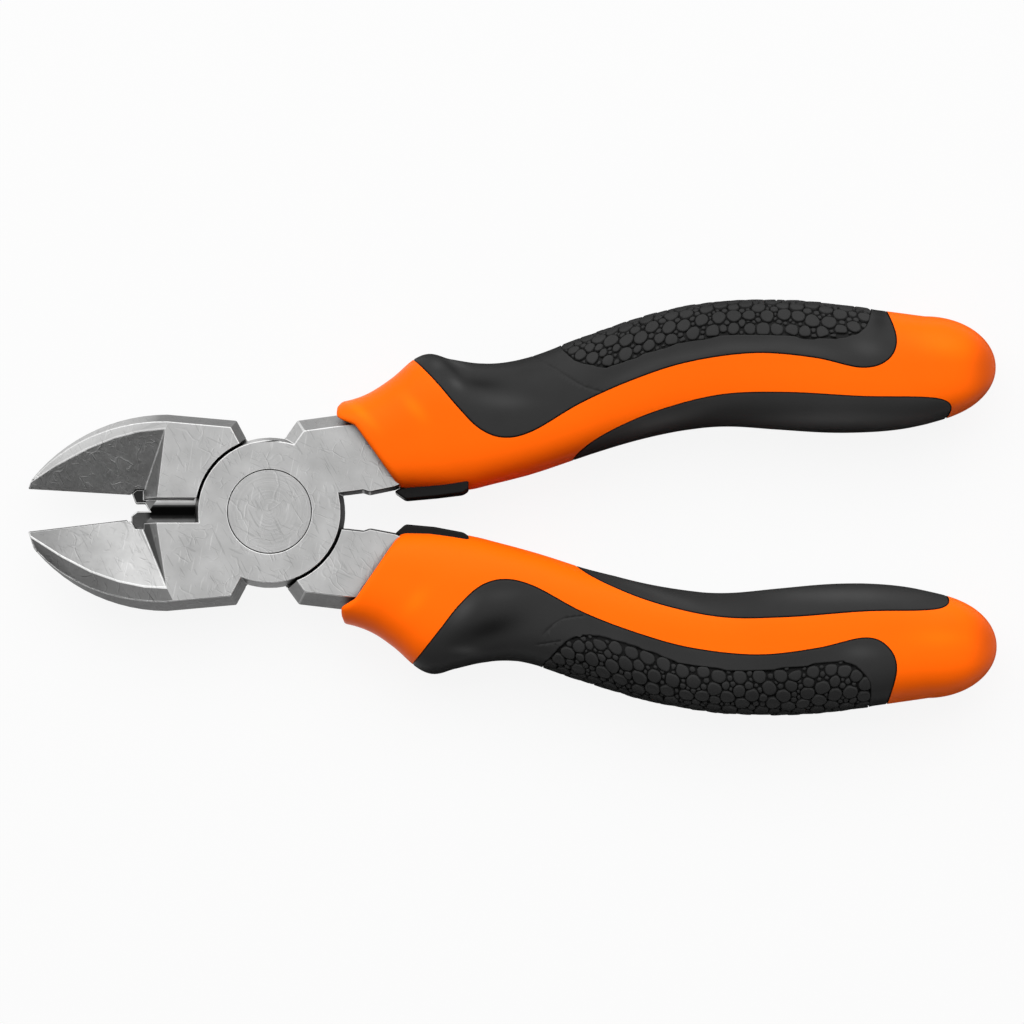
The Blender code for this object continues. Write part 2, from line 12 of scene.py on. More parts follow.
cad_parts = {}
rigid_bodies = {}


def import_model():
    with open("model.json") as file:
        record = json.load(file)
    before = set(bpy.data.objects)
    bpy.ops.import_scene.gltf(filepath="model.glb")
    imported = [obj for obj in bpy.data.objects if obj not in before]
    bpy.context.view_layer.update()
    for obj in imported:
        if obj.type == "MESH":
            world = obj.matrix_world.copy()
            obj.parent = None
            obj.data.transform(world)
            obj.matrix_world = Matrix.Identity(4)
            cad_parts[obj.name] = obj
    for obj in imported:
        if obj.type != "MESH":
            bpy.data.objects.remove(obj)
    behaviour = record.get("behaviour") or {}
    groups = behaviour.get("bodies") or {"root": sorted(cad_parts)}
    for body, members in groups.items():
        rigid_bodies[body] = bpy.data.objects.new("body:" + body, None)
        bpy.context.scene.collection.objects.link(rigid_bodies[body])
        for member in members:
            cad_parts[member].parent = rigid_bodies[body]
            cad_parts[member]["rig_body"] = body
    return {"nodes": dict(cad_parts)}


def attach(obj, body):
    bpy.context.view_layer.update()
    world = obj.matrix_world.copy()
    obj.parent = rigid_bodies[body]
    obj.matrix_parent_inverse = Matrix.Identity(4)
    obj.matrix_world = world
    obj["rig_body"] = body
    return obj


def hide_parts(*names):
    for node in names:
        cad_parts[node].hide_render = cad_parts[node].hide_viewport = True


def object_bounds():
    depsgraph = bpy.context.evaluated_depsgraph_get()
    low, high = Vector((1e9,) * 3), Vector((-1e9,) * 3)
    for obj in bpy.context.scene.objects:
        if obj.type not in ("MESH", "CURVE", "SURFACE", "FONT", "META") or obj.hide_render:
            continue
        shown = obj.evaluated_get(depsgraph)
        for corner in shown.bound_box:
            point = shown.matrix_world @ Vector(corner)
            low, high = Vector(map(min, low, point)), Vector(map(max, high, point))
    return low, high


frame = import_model()
cad_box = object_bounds()

MM = 0.001
# Height of the tool's middle plane in millimetres, and how many degrees each handle is turned.
MIDDLE = 5.5
TURN = 0.53

# The handle's form, in millimetres, as in the CAD part: both sides and half the depth along X.
OUTER = [
    (10, 20.1), (15, 20.8), (19, 22.3), (23, 25.1), (27, 28.65), (30, 29.7),
    (34, 28.7), (41, 27.4), (48, 28.35), (58, 31.9), (70, 35.75), (82, 38),
    (92, 38.55), (102, 38.1), (113, 36.65), (124, 35.1),
]
INNER = [
    (20, 3.9), (30, 3.9), (37, 4), (42, 5.2), (50, 7.5), (60, 10.8),
    (70, 13.45), (80, 15.05), (86, 15.3), (94, 14.7), (104, 14),
    (112, 14.05), (118, 14.6), (124, 15.8),
]
DEPTH = [(10, 8), (25, 8.6), (45, 9.2), (90, 9.2), (115, 8.8), (124, 8.4)]
# The slanted mouth of the sleeve and its rounding, and the rounded end: its start, turn and bend.
MOUTH_OUTER, MOUTH_INNER, SKEW_END = 12.8, 24.4, 50
MOUTH_SIZE, MOUTH_ROUNDING, LIP_REACH = 0.925, 1.3, 6
BODY_END = 122
END_TURN, END_BEND = 89, 0.27
# How square the section is on its outer and its inner side.
OUTER_POWER, INNER_POWER = 2.7, 3.3
# Half the height of the opening that the tang goes through.
HOLE_DEPTH = 5.62
SIDES, RING_STEP = 120, 0.6
# The thumb's hollow: x, y, length, width, angle and depth.
DISH = (39.2, 23.9, 7, 2.5, -22, 0.8)

# Borders of the black grips.
OUTER_GRIP = [
    (23, 31.5), (27, 27.5), (31, 23.1), (35, 18.3), (39, 14.55), (43.5, 13.1),
    (49, 14.4), (58, 19.4), (68, 23.6), (78, 26.5), (90, 27.9), (101, 26.9),
    (110, 25), (115.3, 26.7), (117, 31), (115, 38.5),
]
INNER_GRIP = [
    (53, 5), (58, 10.8), (64, 14.75), (73, 18.2), (84, 20.6), (96, 20.8),
    (110, 19.9), (121, 19.45), (125.4, 18.8), (126.6, 17.2), (125, 14.6), (122, 10),
]

# What sets the two handles of the photograph apart. The first four change Y along X. The end moves the
# inner side behind the body, the rounding is the end's length, and grip_ends moves the grips' ends along
# X. The pebbled panel and the creases beside it are given by their lines. The lip draws the mouth's rim
# forward, at shares of the way from its outer to its inner side. Shades on the grips and sheen on the
# sleeve are soft spots of painted light, a painted highlight where the change is up and painted shade
# where it is down: x, y, length, width, angle and change of tone. The glow is painted light over the
# whole sleeve.
UPPER_SHAPE = {
    "outer": [
        (20, 0), (26, -0.35), (33, -0.4), (40, 0), (62, 0), (76, 0.3), (105, 0),
    ],
    "inner": [(40, 0), (48, -0.3), (58, -0.35), (70, -0.15), (76, 0)],
    "outer_grip": [
        (24, 0.3), (29, 0.55), (34, 0.7), (38, 0.35), (43, 0), (50, -0.15),
        (60, 0.05), (70, 0.15), (80, 0.35), (98, 0.5), (108, 0.5), (114, 0.3),
    ],
    "inner_grip": [(57, -0.2), (70, 0), (80, 0.2), (95, 0.33), (118, 0.4), (121, 0.6)],
    "end": 1,
    "rounding": 13.1,
    "grip_ends": ((-0.3, -0.5, -1.1), -0.4, 0),
    "panel": [
        (54.3, 30), (56, 28.2), (58.4, 26.9), (62.8, 26.3), (68.1, 27.9), (77.7, 30.7),
        (87.2, 32), (93.7, 31.9), (100, 31.2), (105.2, 31.1), (109, 31.9), (111, 33.5),
        (112, 36.2),
    ],
    "creases": [[(47.5, 30.5), (49.5, 28.3), (53.4, 25.7), (58, 22.7), (62.4, 21.2)]],
    "lip": [
        (0, -0.2), (0.05, 1), (0.1, 1.65), (0.15, 2.2), (0.19, 1.85), (0.22, 1.2), (0.25, 0.2),
        (0.28, 0),
    ],
    "shades": [
        (34.2, 26.4, 2.2, 0.6, -42, -0.45), (39.6, 23.6, 3.8, 1.3, -8, -0.55),
        (34.85, 23.35, 1.4, 0.8, -42, 0.9), (31.25, 27, 1, 0.9, 0, 0.5),
        (34.95, 27.6, 2, 0.5, -22, 0.8), (44.2, 19.8, 4.5, 1.3, -3, 0.45),
        (68, 24.8, 6, 1, 22, 0.45), (79, 28, 6, 1, 12, 0.55),
        (90, 29.4, 6.5, 1.1, 1, 0.55), (101, 28.6, 5, 1.2, -8, 0.4),
        (111.1, 29, 2.6, 1.4, -10, 0.6), (113.4, 34.6, 1.4, 2.6, 0, -0.4),
        (102, 15.6, 22, 1.4, 0, 1.5), (72, 15.4, 8, 1.3, 16, 1.3),
    ],
    "glow": 1,
    "sheen": [
        (27.1, 18.95, 3, 1.2, -50, 0.3), (17.5, 17.8, 3.5, 0.9, -45, 0.3),
        (125.5, 29.6, 5, 2.2, -12, 0.25), (133, 26, 2.4, 9, 0, -0.22),
    ],
}
LOWER_SHAPE = {
    "outer": [
        (10, 0.25), (26, 0.3), (32, 0.7), (40, 0.7), (46, 0.15), (60, -0.1),
        (72, -0.25), (92, -0.25), (102, 0), (122, 0.15),
    ],
    "inner": [
        (30, 0), (34, 0.4), (38, 0.7), (58, 0.65), (64, 0.45), (80, 0.5),
        (88, 0.35), (100, 0.25), (110, 0.2), (124, 0.4),
    ],
    "outer_grip": [
        (28, 0), (32, -0.6), (35, -0.6), (39, -0.35), (43, -0.1), (50, 0),
        (58, -0.1), (66, -0.35), (80, -0.45), (98, -0.5), (106, -0.7), (112, -0.5),
    ],
    "inner_grip": [(57, 0.2), (80, 0), (92, -0.15), (106, -0.35), (117, 0), (124, 0.25)],
    "end": 0.85,
    "rounding": 12.7,
    "grip_ends": ((-1, -1.1, -1.2), -0.8, -0.8),
    "panel": [
        (50.3, 28.85), (52.4, 27), (54, 25.4), (56.1, 24.2), (59, 23.7), (62, 24.2),
        (69, 26.4), (77.2, 29.3), (86, 30.4), (94.7, 30.2), (101.7, 29.3), (104.8, 29),
        (107, 29.3), (109.2, 30.7), (110.7, 32.5), (111.2, 34.6), (110.9, 36.9),
    ],
    "creases": [[(50.6, 23.3), (53.7, 20.7), (58, 20)], [(49.4, 25.2), (54.2, 24.6)]],
    "lip": [(0, -0.4), (0.05, 0.5), (0.09, 1), (0.14, 1.5), (0.16, 1.3), (0.19, 0.8), (0.24, 0)],
    "shades": [
        (41.2, 22.4, 5.5, 2.1, -20, -0.55), (35.8, 18.55, 3.2, 1.4, -47, 1),
        (36.2, 26.4, 2.4, 0.7, 5, 0.9), (43, 16, 3.5, 1.2, -5, 0.35),
        (109, 27.2, 3, 1.2, 0, 0.6), (104, 16.4, 14, 1.3, 1, 0.8),
        (70, 15.2, 9, 0.8, 20, 0.5),
    ],
    "glow": 1.12,
    "sheen": [
        (27, 17, 3, 1.4, -50, 0.2), (124, 24.6, 5.5, 1.6, 2, 0.2),
        (133, 26, 2.4, 9, 0, -0.22),
    ],
}

# The skins are cut at these distances inside the borders, or outside where negative, and then sunk.
SEAM_LEVELS = (0, 0.18, 0.34)
PANEL_LEVELS = (0, 0.14, -0.2)
CREASE_LEVELS = (0, 0.22, -0.22)
SEAM_DEPTH, SEAM_WIDTH = 0.25, 0.3
PANEL_DEPTH, PANEL_RIM, PANEL_RIM_WIDTH = 0.55, 0.05, 0.8
CREASE_DEPTH, FAR = 0.17, 9.0
SKIRT_DEPTH = 0.7

# The palm is unrolled over this stretch of X, with this many points round it, the crest in the middle.
PALM_START, PALM_END, PALM_STEP = 48, 116, 0.5
FAN_SIDES, FAN_REACH = 121, 2
CREST = FAN_SIDES // 2

# Radius and tries of each round of pebbles, half the gap between them, and their inset and lift.
PEBBLE_ROUNDS = ((1.3, 2500), (1.15, 2500), (1, 3000), (0.72, 4000), (0.5, 5000), (0.34, 5000))
PEBBLE_SIDES = 20
GROOVE = 0.09
PEBBLE_SECTION = ((-0.03, -0.5), (0, -0.14), (0.07, -0.03), (0.17, 0.02), (0.4, 0.03))

# Corners and brightness of the small facets painted as patches of light in the slot, and how much of
# the light is left by painted shade on the lower jaw's face where it turns away towards its pocket.
PAINTED_FACETS = [
    ([(-23.2, 2.31), (-22.4, 0.42), (-20.8, 2.59)], 0.42),
    ([(-23, -1.7), (-20.8, -2.2), (-22.2, -0.75)], 0.36),
]
PAINTED_WEDGE = [
    ([(-25.5, -1.2), (-19.2, -13.4), (-22.5, -1.2)], 0.7),
    ([(-24.4, -1.2), (-19.2, -13.4), (-22.5, -1.2)], 0.6),
]
PATCH_EDGE = 0.00012

# How far the borders of the jaws' pockets move outwards along X, for the photograph's wider pockets.
UPPER_BEVEL_LIFT = [(-44.5, 0), (-39.4, 0.3), (-33.9, 0.45), (-28.8, 0.5), (-24, 0.45), (-19.6, 0.4)]
LOWER_BEVEL_LIFT = [(-44.5, 0), (-38.7, 0.25), (-33.2, 0.4), (-28.1, 0.3), (-23.4, 0.15), (-19, 0.05)]
EDGE_RADIUS = 0.0002
# Vertices closer than this are one, and faces thinner than this are taken away.
WELD, SLIVER = 0.000002, 0.00006
# The levers' flanks between the tangs, which lie in the dark, get painted shade. They start here and
# reach this far to the side.
TANG_GAP = 8.5

# Radius and height above the middle plane of the rivet's section.
RIVET = [
    (0.3, 5.46), (0.45, 5.5), (7.62, 5.5), (7.7, 5.47), (7.735, 5.4), (7.735, 3.2), (4.6, 3.2), (4.6, 0),
]
RIVET_SIDES = 128

# Outlines of the stop pads. Their tops start at this height in front and rise over their length.
UPPER_PAD = [
    (23.1, 3.75), (25.2, 2.28), (31, 2.8), (35.9, 3.4), (36.9, 4.1), (36.9, 6.8), (30, 6.1),
    (24.2, 4.4),
]
LOWER_PAD = [
    (23.2, -4.05), (25.2, -2.28), (30.6, -2.8), (36, -3.85), (37, -4.6), (36.8, -6.1), (30, -5.6),
    (24.2, -4.6),
]
PAD_BOTTOM, PAD_TOP, PAD_FRONT, PAD_LENGTH = 1, 9.7, 24, 12.5
PAD_ROUNDING = 0.00042

# The camera, the width that it sees at the tool, and the light.
CAMERA_ELEVATION = 87.5
LENS, SENSOR, VIEW_WIDTH = 400, 36, 0.19022
TARGET = Vector((0.045, 0, 0.0055))
AIM = Vector((0.04495, 0.00015, 0.0055))
AMBIENT = 0.4
KEY_POWER, SHEEN_POWER = 27, 5
# The floor lies just below the tool. To the camera, this share of it is an even pale glow.
FLOOR_DROP, FLOOR_GLOW, FLOOR_SHARE = 0.0003, 0.965, 0.93


def height(points, x):
    """The height at x of a smooth curve through points that run along X."""
    last = len(points) - 1
    i = 0
    while i < last - 1 and x > points[i + 1][0]:
        i += 1
    (x0, y0), (x1, y1) = points[i], points[i + 1]

    def slope(k):
        a, b = points[max(k - 1, 0)], points[min(k + 1, last)]
        return (b[1] - a[1]) / (b[0] - a[0])

    span = x1 - x0
    t = (x - x0) / span
    return (
        y0 * (1 + 2 * t) * (1 - t) ** 2 + y1 * t * t * (3 - 2 * t)
        + slope(i) * span * t * (1 - t) ** 2 + slope(i + 1) * span * t * t * (t - 1)
    )


def smooth_path(points, steps):
    """Points along a smooth open curve through the given ones."""
    ends = [points[0]] + list(points) + [points[-1]]
    path = []
    for i in range(1, len(ends) - 2):
        p = [np.array(ends[i + k], float) for k in (-1, 0, 1, 2)]
        for step in range(steps):
            t = step / steps
            path.append(0.5 * (
                2 * p[1] + (p[2] - p[0]) * t + (2 * p[0] - 5 * p[1] + 4 * p[2] - p[3]) * t ** 2
                + (3 * p[1] - 3 * p[2] + p[3] - p[0]) * t ** 3
            ))
    path.append(np.array(points[-1], float))
    return np.array(path)


def line_distance(points, line):
    """Distance of each point from an open line of points."""
    best = np.full(len(points), 1e9)
    for a, b in zip(line[:-1], line[1:]):
        d = b - a
        t = np.clip(((points - a) @ d) / (d @ d), 0, 1)
        best = np.minimum(best, np.linalg.norm(points - a - t[:, None] * d, axis=1))
    return best


def beside(points, line):
    """Distance from an open line, positive on its left, and far past its ends."""
    best = np.full(len(points), 1e9)
    for i, (a, b) in enumerate(zip(line[:-1], line[1:])):
        d = b - a
        t = ((points - a) @ d) / (d @ d)
        past = (t < 0) if i == 0 else (t > 1) if i == len(line) - 2 else np.zeros(len(t), bool)
        off = points - a - np.clip(t, 0, 1)[:, None] * d
        away = np.linalg.norm(off, axis=1)
        away = np.where(d[0] * off[:, 1] - d[1] * off[:, 0] < 0, -away, away)
        closer = np.abs(away) < np.abs(best)
        best = np.where(closer, np.where(past, np.maximum(np.abs(away), 3.0), away), best)
    return best


def nudged(points, changes):
    """The points with each Y changed by what the changes say at its X."""
    at, by = zip(*changes)
    return [(x, y + float(np.interp(x, at, by))) for x, y in points]


def inside(points, outline):
    """Which points lie inside a closed outline."""
    found = np.zeros(len(points), bool)
    x, y = points[:, 0], points[:, 1]
    for (ax, ay), (bx, by) in zip(outline, np.roll(outline, -1, axis=0)):
        if ay == by:
            continue
        crosses = ((ay > y) != (by > y)) & (x < (bx - ax) * (y - ay) / (by - ay) + ax)
        found ^= crosses
    return found


def signed(points, line, closing):
    """Distance from the line, positive inside the outline that the closing points end."""
    outline = np.vstack([line, closing]) if len(closing) else line
    edge = line if len(closing) else np.vstack([line, line[:1]])
    away = line_distance(points, edge)
    return np.where(inside(points, outline), away, -away)


def section(x, size, shape):
    """Centre, half width and half depth of the handle at x."""
    fade = 1 - max(0.0, min(1.0, (x - MOUTH_OUTER) / (SKEW_END - MOUTH_OUTER)))
    skew = (MOUTH_INNER - MOUTH_OUTER) * fade * fade * (3 - 2 * fade)
    flat = min(x, BODY_END)
    outer = np.array((x, height(OUTER, flat) + np.interp(flat, *zip(*shape["outer"]))))
    over = min(x + skew, BODY_END)
    inner = np.array((x + skew, height(INNER, over) + np.interp(over, *zip(*shape["inner"]))))
    inner[1] += shape["end"] * (1 - math.exp(-END_BEND * max(0.0, x - BODY_END)))
    return (outer + inner) / 2, (outer - inner) / 2 * size, height(DEPTH, flat) * size


def way_in(points, centre, across):
    """Where points lie on the way from the handle's outer side, 0, to its inner side, 1."""
    return 0.5 - (points[:, :2] - centre[:2]) @ across / (across @ across) / 2


def ring(x, size, sides, shape, start=0.0, end=2 * math.pi):
    """Points round the handle at x, or over a part of the turn."""
    centre, across, depth = section(x, size, shape)
    full = end - start > 6.28
    angle = np.linspace(start, end, sides, endpoint=not full)
    c, s = np.cos(angle), np.sin(angle)
    power = np.where(c > 0, OUTER_POWER, INNER_POWER)
    r = (np.abs(c) ** power + np.abs(s) ** power) ** (-1 / power)
    points = np.empty((sides, 3))
    points[:, :2] = centre + np.outer(r * c, across)
    points[:, 2] = MIDDLE + depth * r * s
    return points


class Palm:
    """The palm unrolled: x along the handle and v round it from the crest."""

    def __init__(self, shape):
        self.x = np.arange(PALM_START, PALM_END + 0.01, PALM_STEP)
        self.fan = np.array([ring(x, 1.0, FAN_SIDES, shape, -FAN_REACH, FAN_REACH) for x in self.x])
        steps = np.linalg.norm(np.diff(self.fan, axis=1), axis=2)
        start = np.zeros((len(self.x), 1))
        self.v = np.concatenate([start, np.cumsum(steps, axis=1)], axis=1)
        self.v -= self.v[:, CREST:CREST + 1]
        self.out = np.cross(np.gradient(self.fan, axis=1), np.gradient(self.fan, axis=0))
        self.out /= np.linalg.norm(self.out, axis=2)[:, :, None]
        if self.out[0, CREST, 1] < 0:
            self.out = -self.out
        front = []
        for x, y in smooth_path(shape["panel"], 5):
            i = int(round((x - PALM_START) / PALM_STEP))
            front.append((x, self.v[i, CREST + int(np.argmax(self.fan[i, CREST:, 1] < y))]))
        front = np.array(front)
        self.outline = np.vstack([front, (front * [1, -1])[::-1]])

    def lifted(self, flat, lift):
        """Points of the unrolled palm, with heights, as points in space."""
        out = np.empty((len(flat), 3))
        for n, ((x, v), h) in enumerate(zip(flat, lift)):
            f = min(max((x - PALM_START) / PALM_STEP, 0), len(self.x) - 1.001)
            i, t = int(f), f - int(f)
            found = []
            for row in (i, i + 1):
                g = np.interp(v, self.v[row], np.arange(FAN_SIDES))
                k = min(int(g), FAN_SIDES - 2)
                w = g - k
                fan, side = self.fan[row], self.out[row]
                found.append(
                    fan[k] * (1 - w) + fan[k + 1] * w + (side[k] * (1 - w) + side[k + 1] * w) * h
                )
            out[n] = found[0] * (1 - t) + found[1] * t
        return out

    def place(self, points):
        """Unrolled place of points of the surface, far away where there is none."""
        flat = np.full((len(points), 2), 1e3)
        for n, p in enumerate(points):
            if self.x[0] <= p[0] <= self.x[-1]:
                i = int(round((p[0] - PALM_START) / PALM_STEP))
                row = self.fan[i, :, 1:]
                k = int(np.argmin(((row - p[1:]) ** 2).sum(1)))
                if 0 < k < FAN_SIDES - 1:
                    d = row[k + 1] - row[k - 1]
                    t = ((p[1:] - row[k - 1]) @ d) / (d @ d)
                    flat[n] = (p[0], self.v[i, k - 1] * (1 - t) + self.v[i, k + 1] * t)
        return flat


def tube(count, sides, first=0):
    """Quads between rings of points that follow each other."""
    starts = range(first, first + (count - 1) * sides, sides)
    pairs = [(start + k, start + (k + 1) % sides) for start in starts for k in range(sides)]
    return [(a, b, b + sides, a + sides) for a, b in pairs]


def clip(polygon, point, normal):
    """The part of a convex polygon behind a line."""
    kept = []
    side = (polygon - point) @ normal
    for i in range(len(polygon)):
        j = (i + 1) % len(polygon)
        if side[i] <= 0:
            kept.append(polygon[i])
        if side[i] * side[j] < 0:
            t = side[i] / (side[i] - side[j])
            kept.append(polygon[i] * (1 - t) + polygon[j] * t)
    return np.array(kept)


def pebbles(palm, seed):
    """Rounded pebbles that fill the panel, as vertices and faces."""
    sides = PEBBLE_SIDES
    rng = np.random.default_rng(seed)
    outline = palm.outline
    centres, radii = np.empty((0, 2)), np.empty(0)

    def fits(spot, radius, close):
        """Whether a new pebble keeps clear of the others."""
        return not len(centres) or np.all(
            np.linalg.norm(centres - spot, axis=1) > (radii + radius) * close
        )

    middle_of = (outline + np.roll(outline, -1, axis=0)) / 2
    edge = np.roll(outline, -1, axis=0) - outline
    out = np.stack([edge[:, 1], -edge[:, 0]], axis=1)
    out /= np.linalg.norm(out, axis=1)[:, None]
    if not inside(middle_of[:1] - out[:1] * 0.05, outline)[0]:
        out = -out
    for n in range(len(outline)):
        radius = rng.uniform(1.08, 1.3)
        spot = middle_of[n] - out[n] * (radius + 0.15)
        room = signed(spot[None], outline, [])[0]
        if room > radius * 0.95 and fits(spot, radius, 1.03):
            centres = np.vstack([centres, spot])
            radii = np.append(radii, radius)
    low, high = outline.min(0), outline.max(0)
    for radius, tries in PEBBLE_ROUNDS:
        spots = rng.uniform(low, high, (tries, 2))
        for spot, gap in zip(spots, signed(spots, outline, [])):
            if gap > radius * 0.92 and fits(spot, radius, 0.97):
                centres = np.vstack([centres, spot])
                radii = np.append(radii, radius)

    def cell_of(c, r, groove):
        """The room of one pebble between its neighbours and the panel's edge."""
        cell = c + np.array([(-4, -4), (4, -4), (4, 4), (-4, 4)], float)
        near = np.linalg.norm(centres - c, axis=1)
        for k in np.where((near > 1e-6) & (near < 5))[0]:
            d = centres[k] - c
            length = near[k]
            at = (length ** 2 + r ** 2 - radii[k] ** 2) / (2 * length)
            cell = clip(cell, c + d / length * (at - groove), d / length)
        for m, n in zip(middle_of, out):
            if np.linalg.norm(m - c) < 3.5 and (c - m) @ n < -0.1:
                cell = clip(cell, m - n * groove * 1.2, n)
        return cell

    for _ in range(3):
        centres = centres + 0.4 * (
            np.array([cell_of(c, r, 0).mean(0) for c, r in zip(centres, radii)]) - centres
        )
    verts, faces = [], []
    for c, r in zip(centres, radii):
        cell = cell_of(c, r, GROOVE)
        for _ in range(3):
            after = np.roll(cell, -1, axis=0)
            cell = np.stack([cell * 0.75 + after * 0.25, cell * 0.25 + after * 0.75], 1)
            cell = cell.reshape(-1, 2)
        reach = np.linalg.norm(cell - c, axis=1)
        cell = c + (cell - c) * np.minimum(1, r * 1.1 / reach)[:, None]
        loop = np.vstack([cell, cell[:1]])
        length = np.concatenate([[0], np.cumsum(np.linalg.norm(np.diff(loop, axis=0), axis=1))])
        at = np.linspace(0, length[-1], sides, endpoint=False)
        loop = np.stack([np.interp(at, length, loop[:, k]) for k in (0, 1)], axis=1)
        size = np.linalg.norm(loop - c, axis=1).mean()
        tilt = rng.uniform(-0.05, 0.05, 2)
        top = rng.uniform(0.02, 0.14) - (0.12 if r < 0.6 else 0.0)
        first = len(verts)
        for inset, lift in PEBBLE_SECTION:
            flat = c + (loop - c) * max(0.12, 1 - inset / size)
            lifts = lift + (top if lift > -0.4 else 0) + (flat - c) @ tilt
            verts.extend(palm.lifted(flat, lifts))
        verts.extend(palm.lifted(np.array([c]), [0.04 + top]))
        last = first + (len(PEBBLE_SECTION) - 1) * sides
        faces += tube(len(PEBBLE_SECTION), sides, first)
        faces += [(last + k, last + (k + 1) % sides, last + sides) for k in range(sides)]
    return np.array(verts), faces


def cut(bm, layers, which, level):
    """Splits the mesh where one of its vertex values crosses a level."""
    layer = layers[which]
    on = set()
    for v in bm.verts:
        if abs(v[layer] - level) < 0.02:
            v[layer] = level
            on.add(v)
    for e in list(bm.edges):
        a, b = e.verts
        u, w = a[layer] - level, b[layer] - level
        if u * w < 0:
            t = u / (u - w)
            values = [a[k] * (1 - t) + b[k] * t for k in layers]
            _, fresh = bmesh.utils.edge_split(e, a, t)
            for k, value in zip(layers, values):
                fresh[k] = value
            fresh[layer] = level
            on.add(fresh)
    for f in list(bm.faces):
        loop = list(f.verts)
        side = [0 if v in on else v[layer] - level for v in loop]
        hits = [k for k, value in enumerate(side) if value == 0]
        for i, j in itertools.combinations(hits, 2):
            one, other = side[i + 1:j], side[j + 1:] + side[:i]
            if not one or not other:
                continue
            if (max(one) > 0) == (max(other) > 0):
                continue
            if min(one) * max(one) < 0 or min(other) * max(other) < 0:
                continue
            bmesh.utils.face_split(f, loop[i], loop[j])
            break


def spots_sum(point, spots):
    """What soft oval spots add up to at a point."""
    total = 0.0
    for x, y, long, wide, angle, change in spots:
        x, y = point.x - x, point.y - y
        c, s = math.cos(math.radians(angle)), math.sin(math.radians(angle))
        total += change * math.exp(-((x * c + y * s) / long) ** 2 - ((y * c - x * s) / wide) ** 2)
    return total


def linked(name, data):
    """A new object in the scene."""
    node = bpy.data.objects.new(name, data)
    bpy.context.scene.collection.objects.link(node)
    return node


def build_mesh(name, verts, faces, matrix):
    """A new object from vertices and faces, smooth shaded."""
    mesh = bpy.data.meshes.new(name)
    mesh.from_pydata([matrix @ Vector(v) for v in verts], [], faces)
    mesh.validate()
    mesh.update()
    mesh.shade_smooth()
    return linked(name, mesh)


def rings_of(shape):
    """Rings of points from inside the sleeve's mouth, over its rim, to the handle's end."""
    stations = []
    for turn in np.radians(np.linspace(0, 90, 9)):
        stations.append((
            MOUTH_OUTER + MOUTH_ROUNDING * (1 - math.cos(turn)),
            MOUTH_SIZE + (1 - MOUTH_SIZE) * math.sin(turn),
        ))
    stations += [(x, 1.0) for x in np.arange(MOUTH_OUTER + 1.9, BODY_END, RING_STEP)]
    for turn in np.radians(np.linspace(0, END_TURN, 26)):
        stations.append((BODY_END + shape["rounding"] * math.sin(turn), math.cos(turn)))
    rim = ring(MOUTH_OUTER, MOUTH_SIZE, SIDES, shape)
    centre = rim.mean(0)
    hole = centre + (rim - centre) * [0.93, 0.93, 1]
    hole[:, 2] = np.clip(hole[:, 2], MIDDLE - HOLE_DEPTH, MIDDLE + HOLE_DEPTH)
    low = centre + (rim - centre) * [0.965, 0.965, 0.93]
    _, across, _ = section(MOUTH_OUTER, MOUTH_SIZE, shape)
    lip = np.interp(way_in(rim, centre, across), *zip(*shape["lip"]))
    back = np.outer(np.clip(-lip, 0, 1), (1, 0, 0))
    rings = [hole + [5, 0.6, 0], hole + [0.3, 0, 0] + back, low + [0.02, 0, 0] + back]
    for x, size in stations:
        loop = ring(x, size, SIDES, shape)
        centre, across, _ = section(x, size, shape)
        lip = np.interp(way_in(loop, centre, across), *zip(*shape["lip"]))
        loop[:, 0] -= lip * max(0.0, 1 - (x - MOUTH_OUTER) / LIP_REACH) ** 2
        rings.append(loop)
    return rings


def borders(flat, palm, shape, front):
    """Distance of each point from the borders of both grips, the panel and the creases."""
    outer_ends, inner_start, inner_end = shape["grip_ends"]
    points = nudged(OUTER_GRIP, shape["outer_grip"])
    points[-3:] = [(x + by, y) for (x, y), by in zip(points[-3:], outer_ends)]
    outer = signed(flat[:, :2], smooth_path(points, 8), np.array([(115.0, 60.0), (23.0, 60.0)]))
    points = [
        (x + inner_start * (x < 60) + inner_end * (x > 120), y)
        for x, y in nudged(INNER_GRIP, shape["inner_grip"])
    ]
    inner = signed(flat[:, :2], smooth_path(points, 8), np.array([(122.0, -20.0), (53.0, -20.0)]))
    panel = np.maximum(signed(palm.place(flat), palm.outline, []), -6)
    crease = np.full(len(flat), FAR)
    for points in shape["creases"]:
        near = beside(flat[:, :2], smooth_path(points, 5))
        near = np.where((flat[:, 2] - MIDDLE) * front > 0, near, FAR)
        crease = np.where(np.abs(near) < np.abs(crease), near, crease)
    return outer, inner, panel, crease


def moves_of(bm, layers, creases, front):
    """How each vertex moves, as pairs: on the sleeve, and on a grip, where it also sinks at the seams."""
    now = np.array([v.co for v in bm.verts])
    to_crease = np.min([line_distance(now[:, :2], smooth_path(c, 5)) for c in creases], axis=0)
    to_crease[(now[:, 2] - MIDDLE) * front < 0] = FAR
    moves = []
    for v, c in zip(bm.verts, to_crease):
        o, i, p = (v[layer] for layer in layers[:3])
        lift = 0.0
        if p > 0.01:
            lift -= PANEL_DEPTH * min(1.0, p / PANEL_LEVELS[1])
        elif p > -PANEL_RIM_WIDTH:
            lift += PANEL_RIM * max(0.0, 1 + p / PANEL_RIM_WIDTH)
        if o > 0.05:
            lift -= CREASE_DEPTH * max(0.0, 1 - c / CREASE_LEVELS[1])
        if o > -1:
            lift -= spots_sum(v.co, [DISH]) * min(1.0, 1 + min(o, 0.0))
        seam = SEAM_DEPTH * max(max(0.0, 1 - abs(s) / SEAM_WIDTH) ** 2 for s in (o, i))
        moves.append((v.normal * lift, v.normal * (lift - seam)))
    return moves


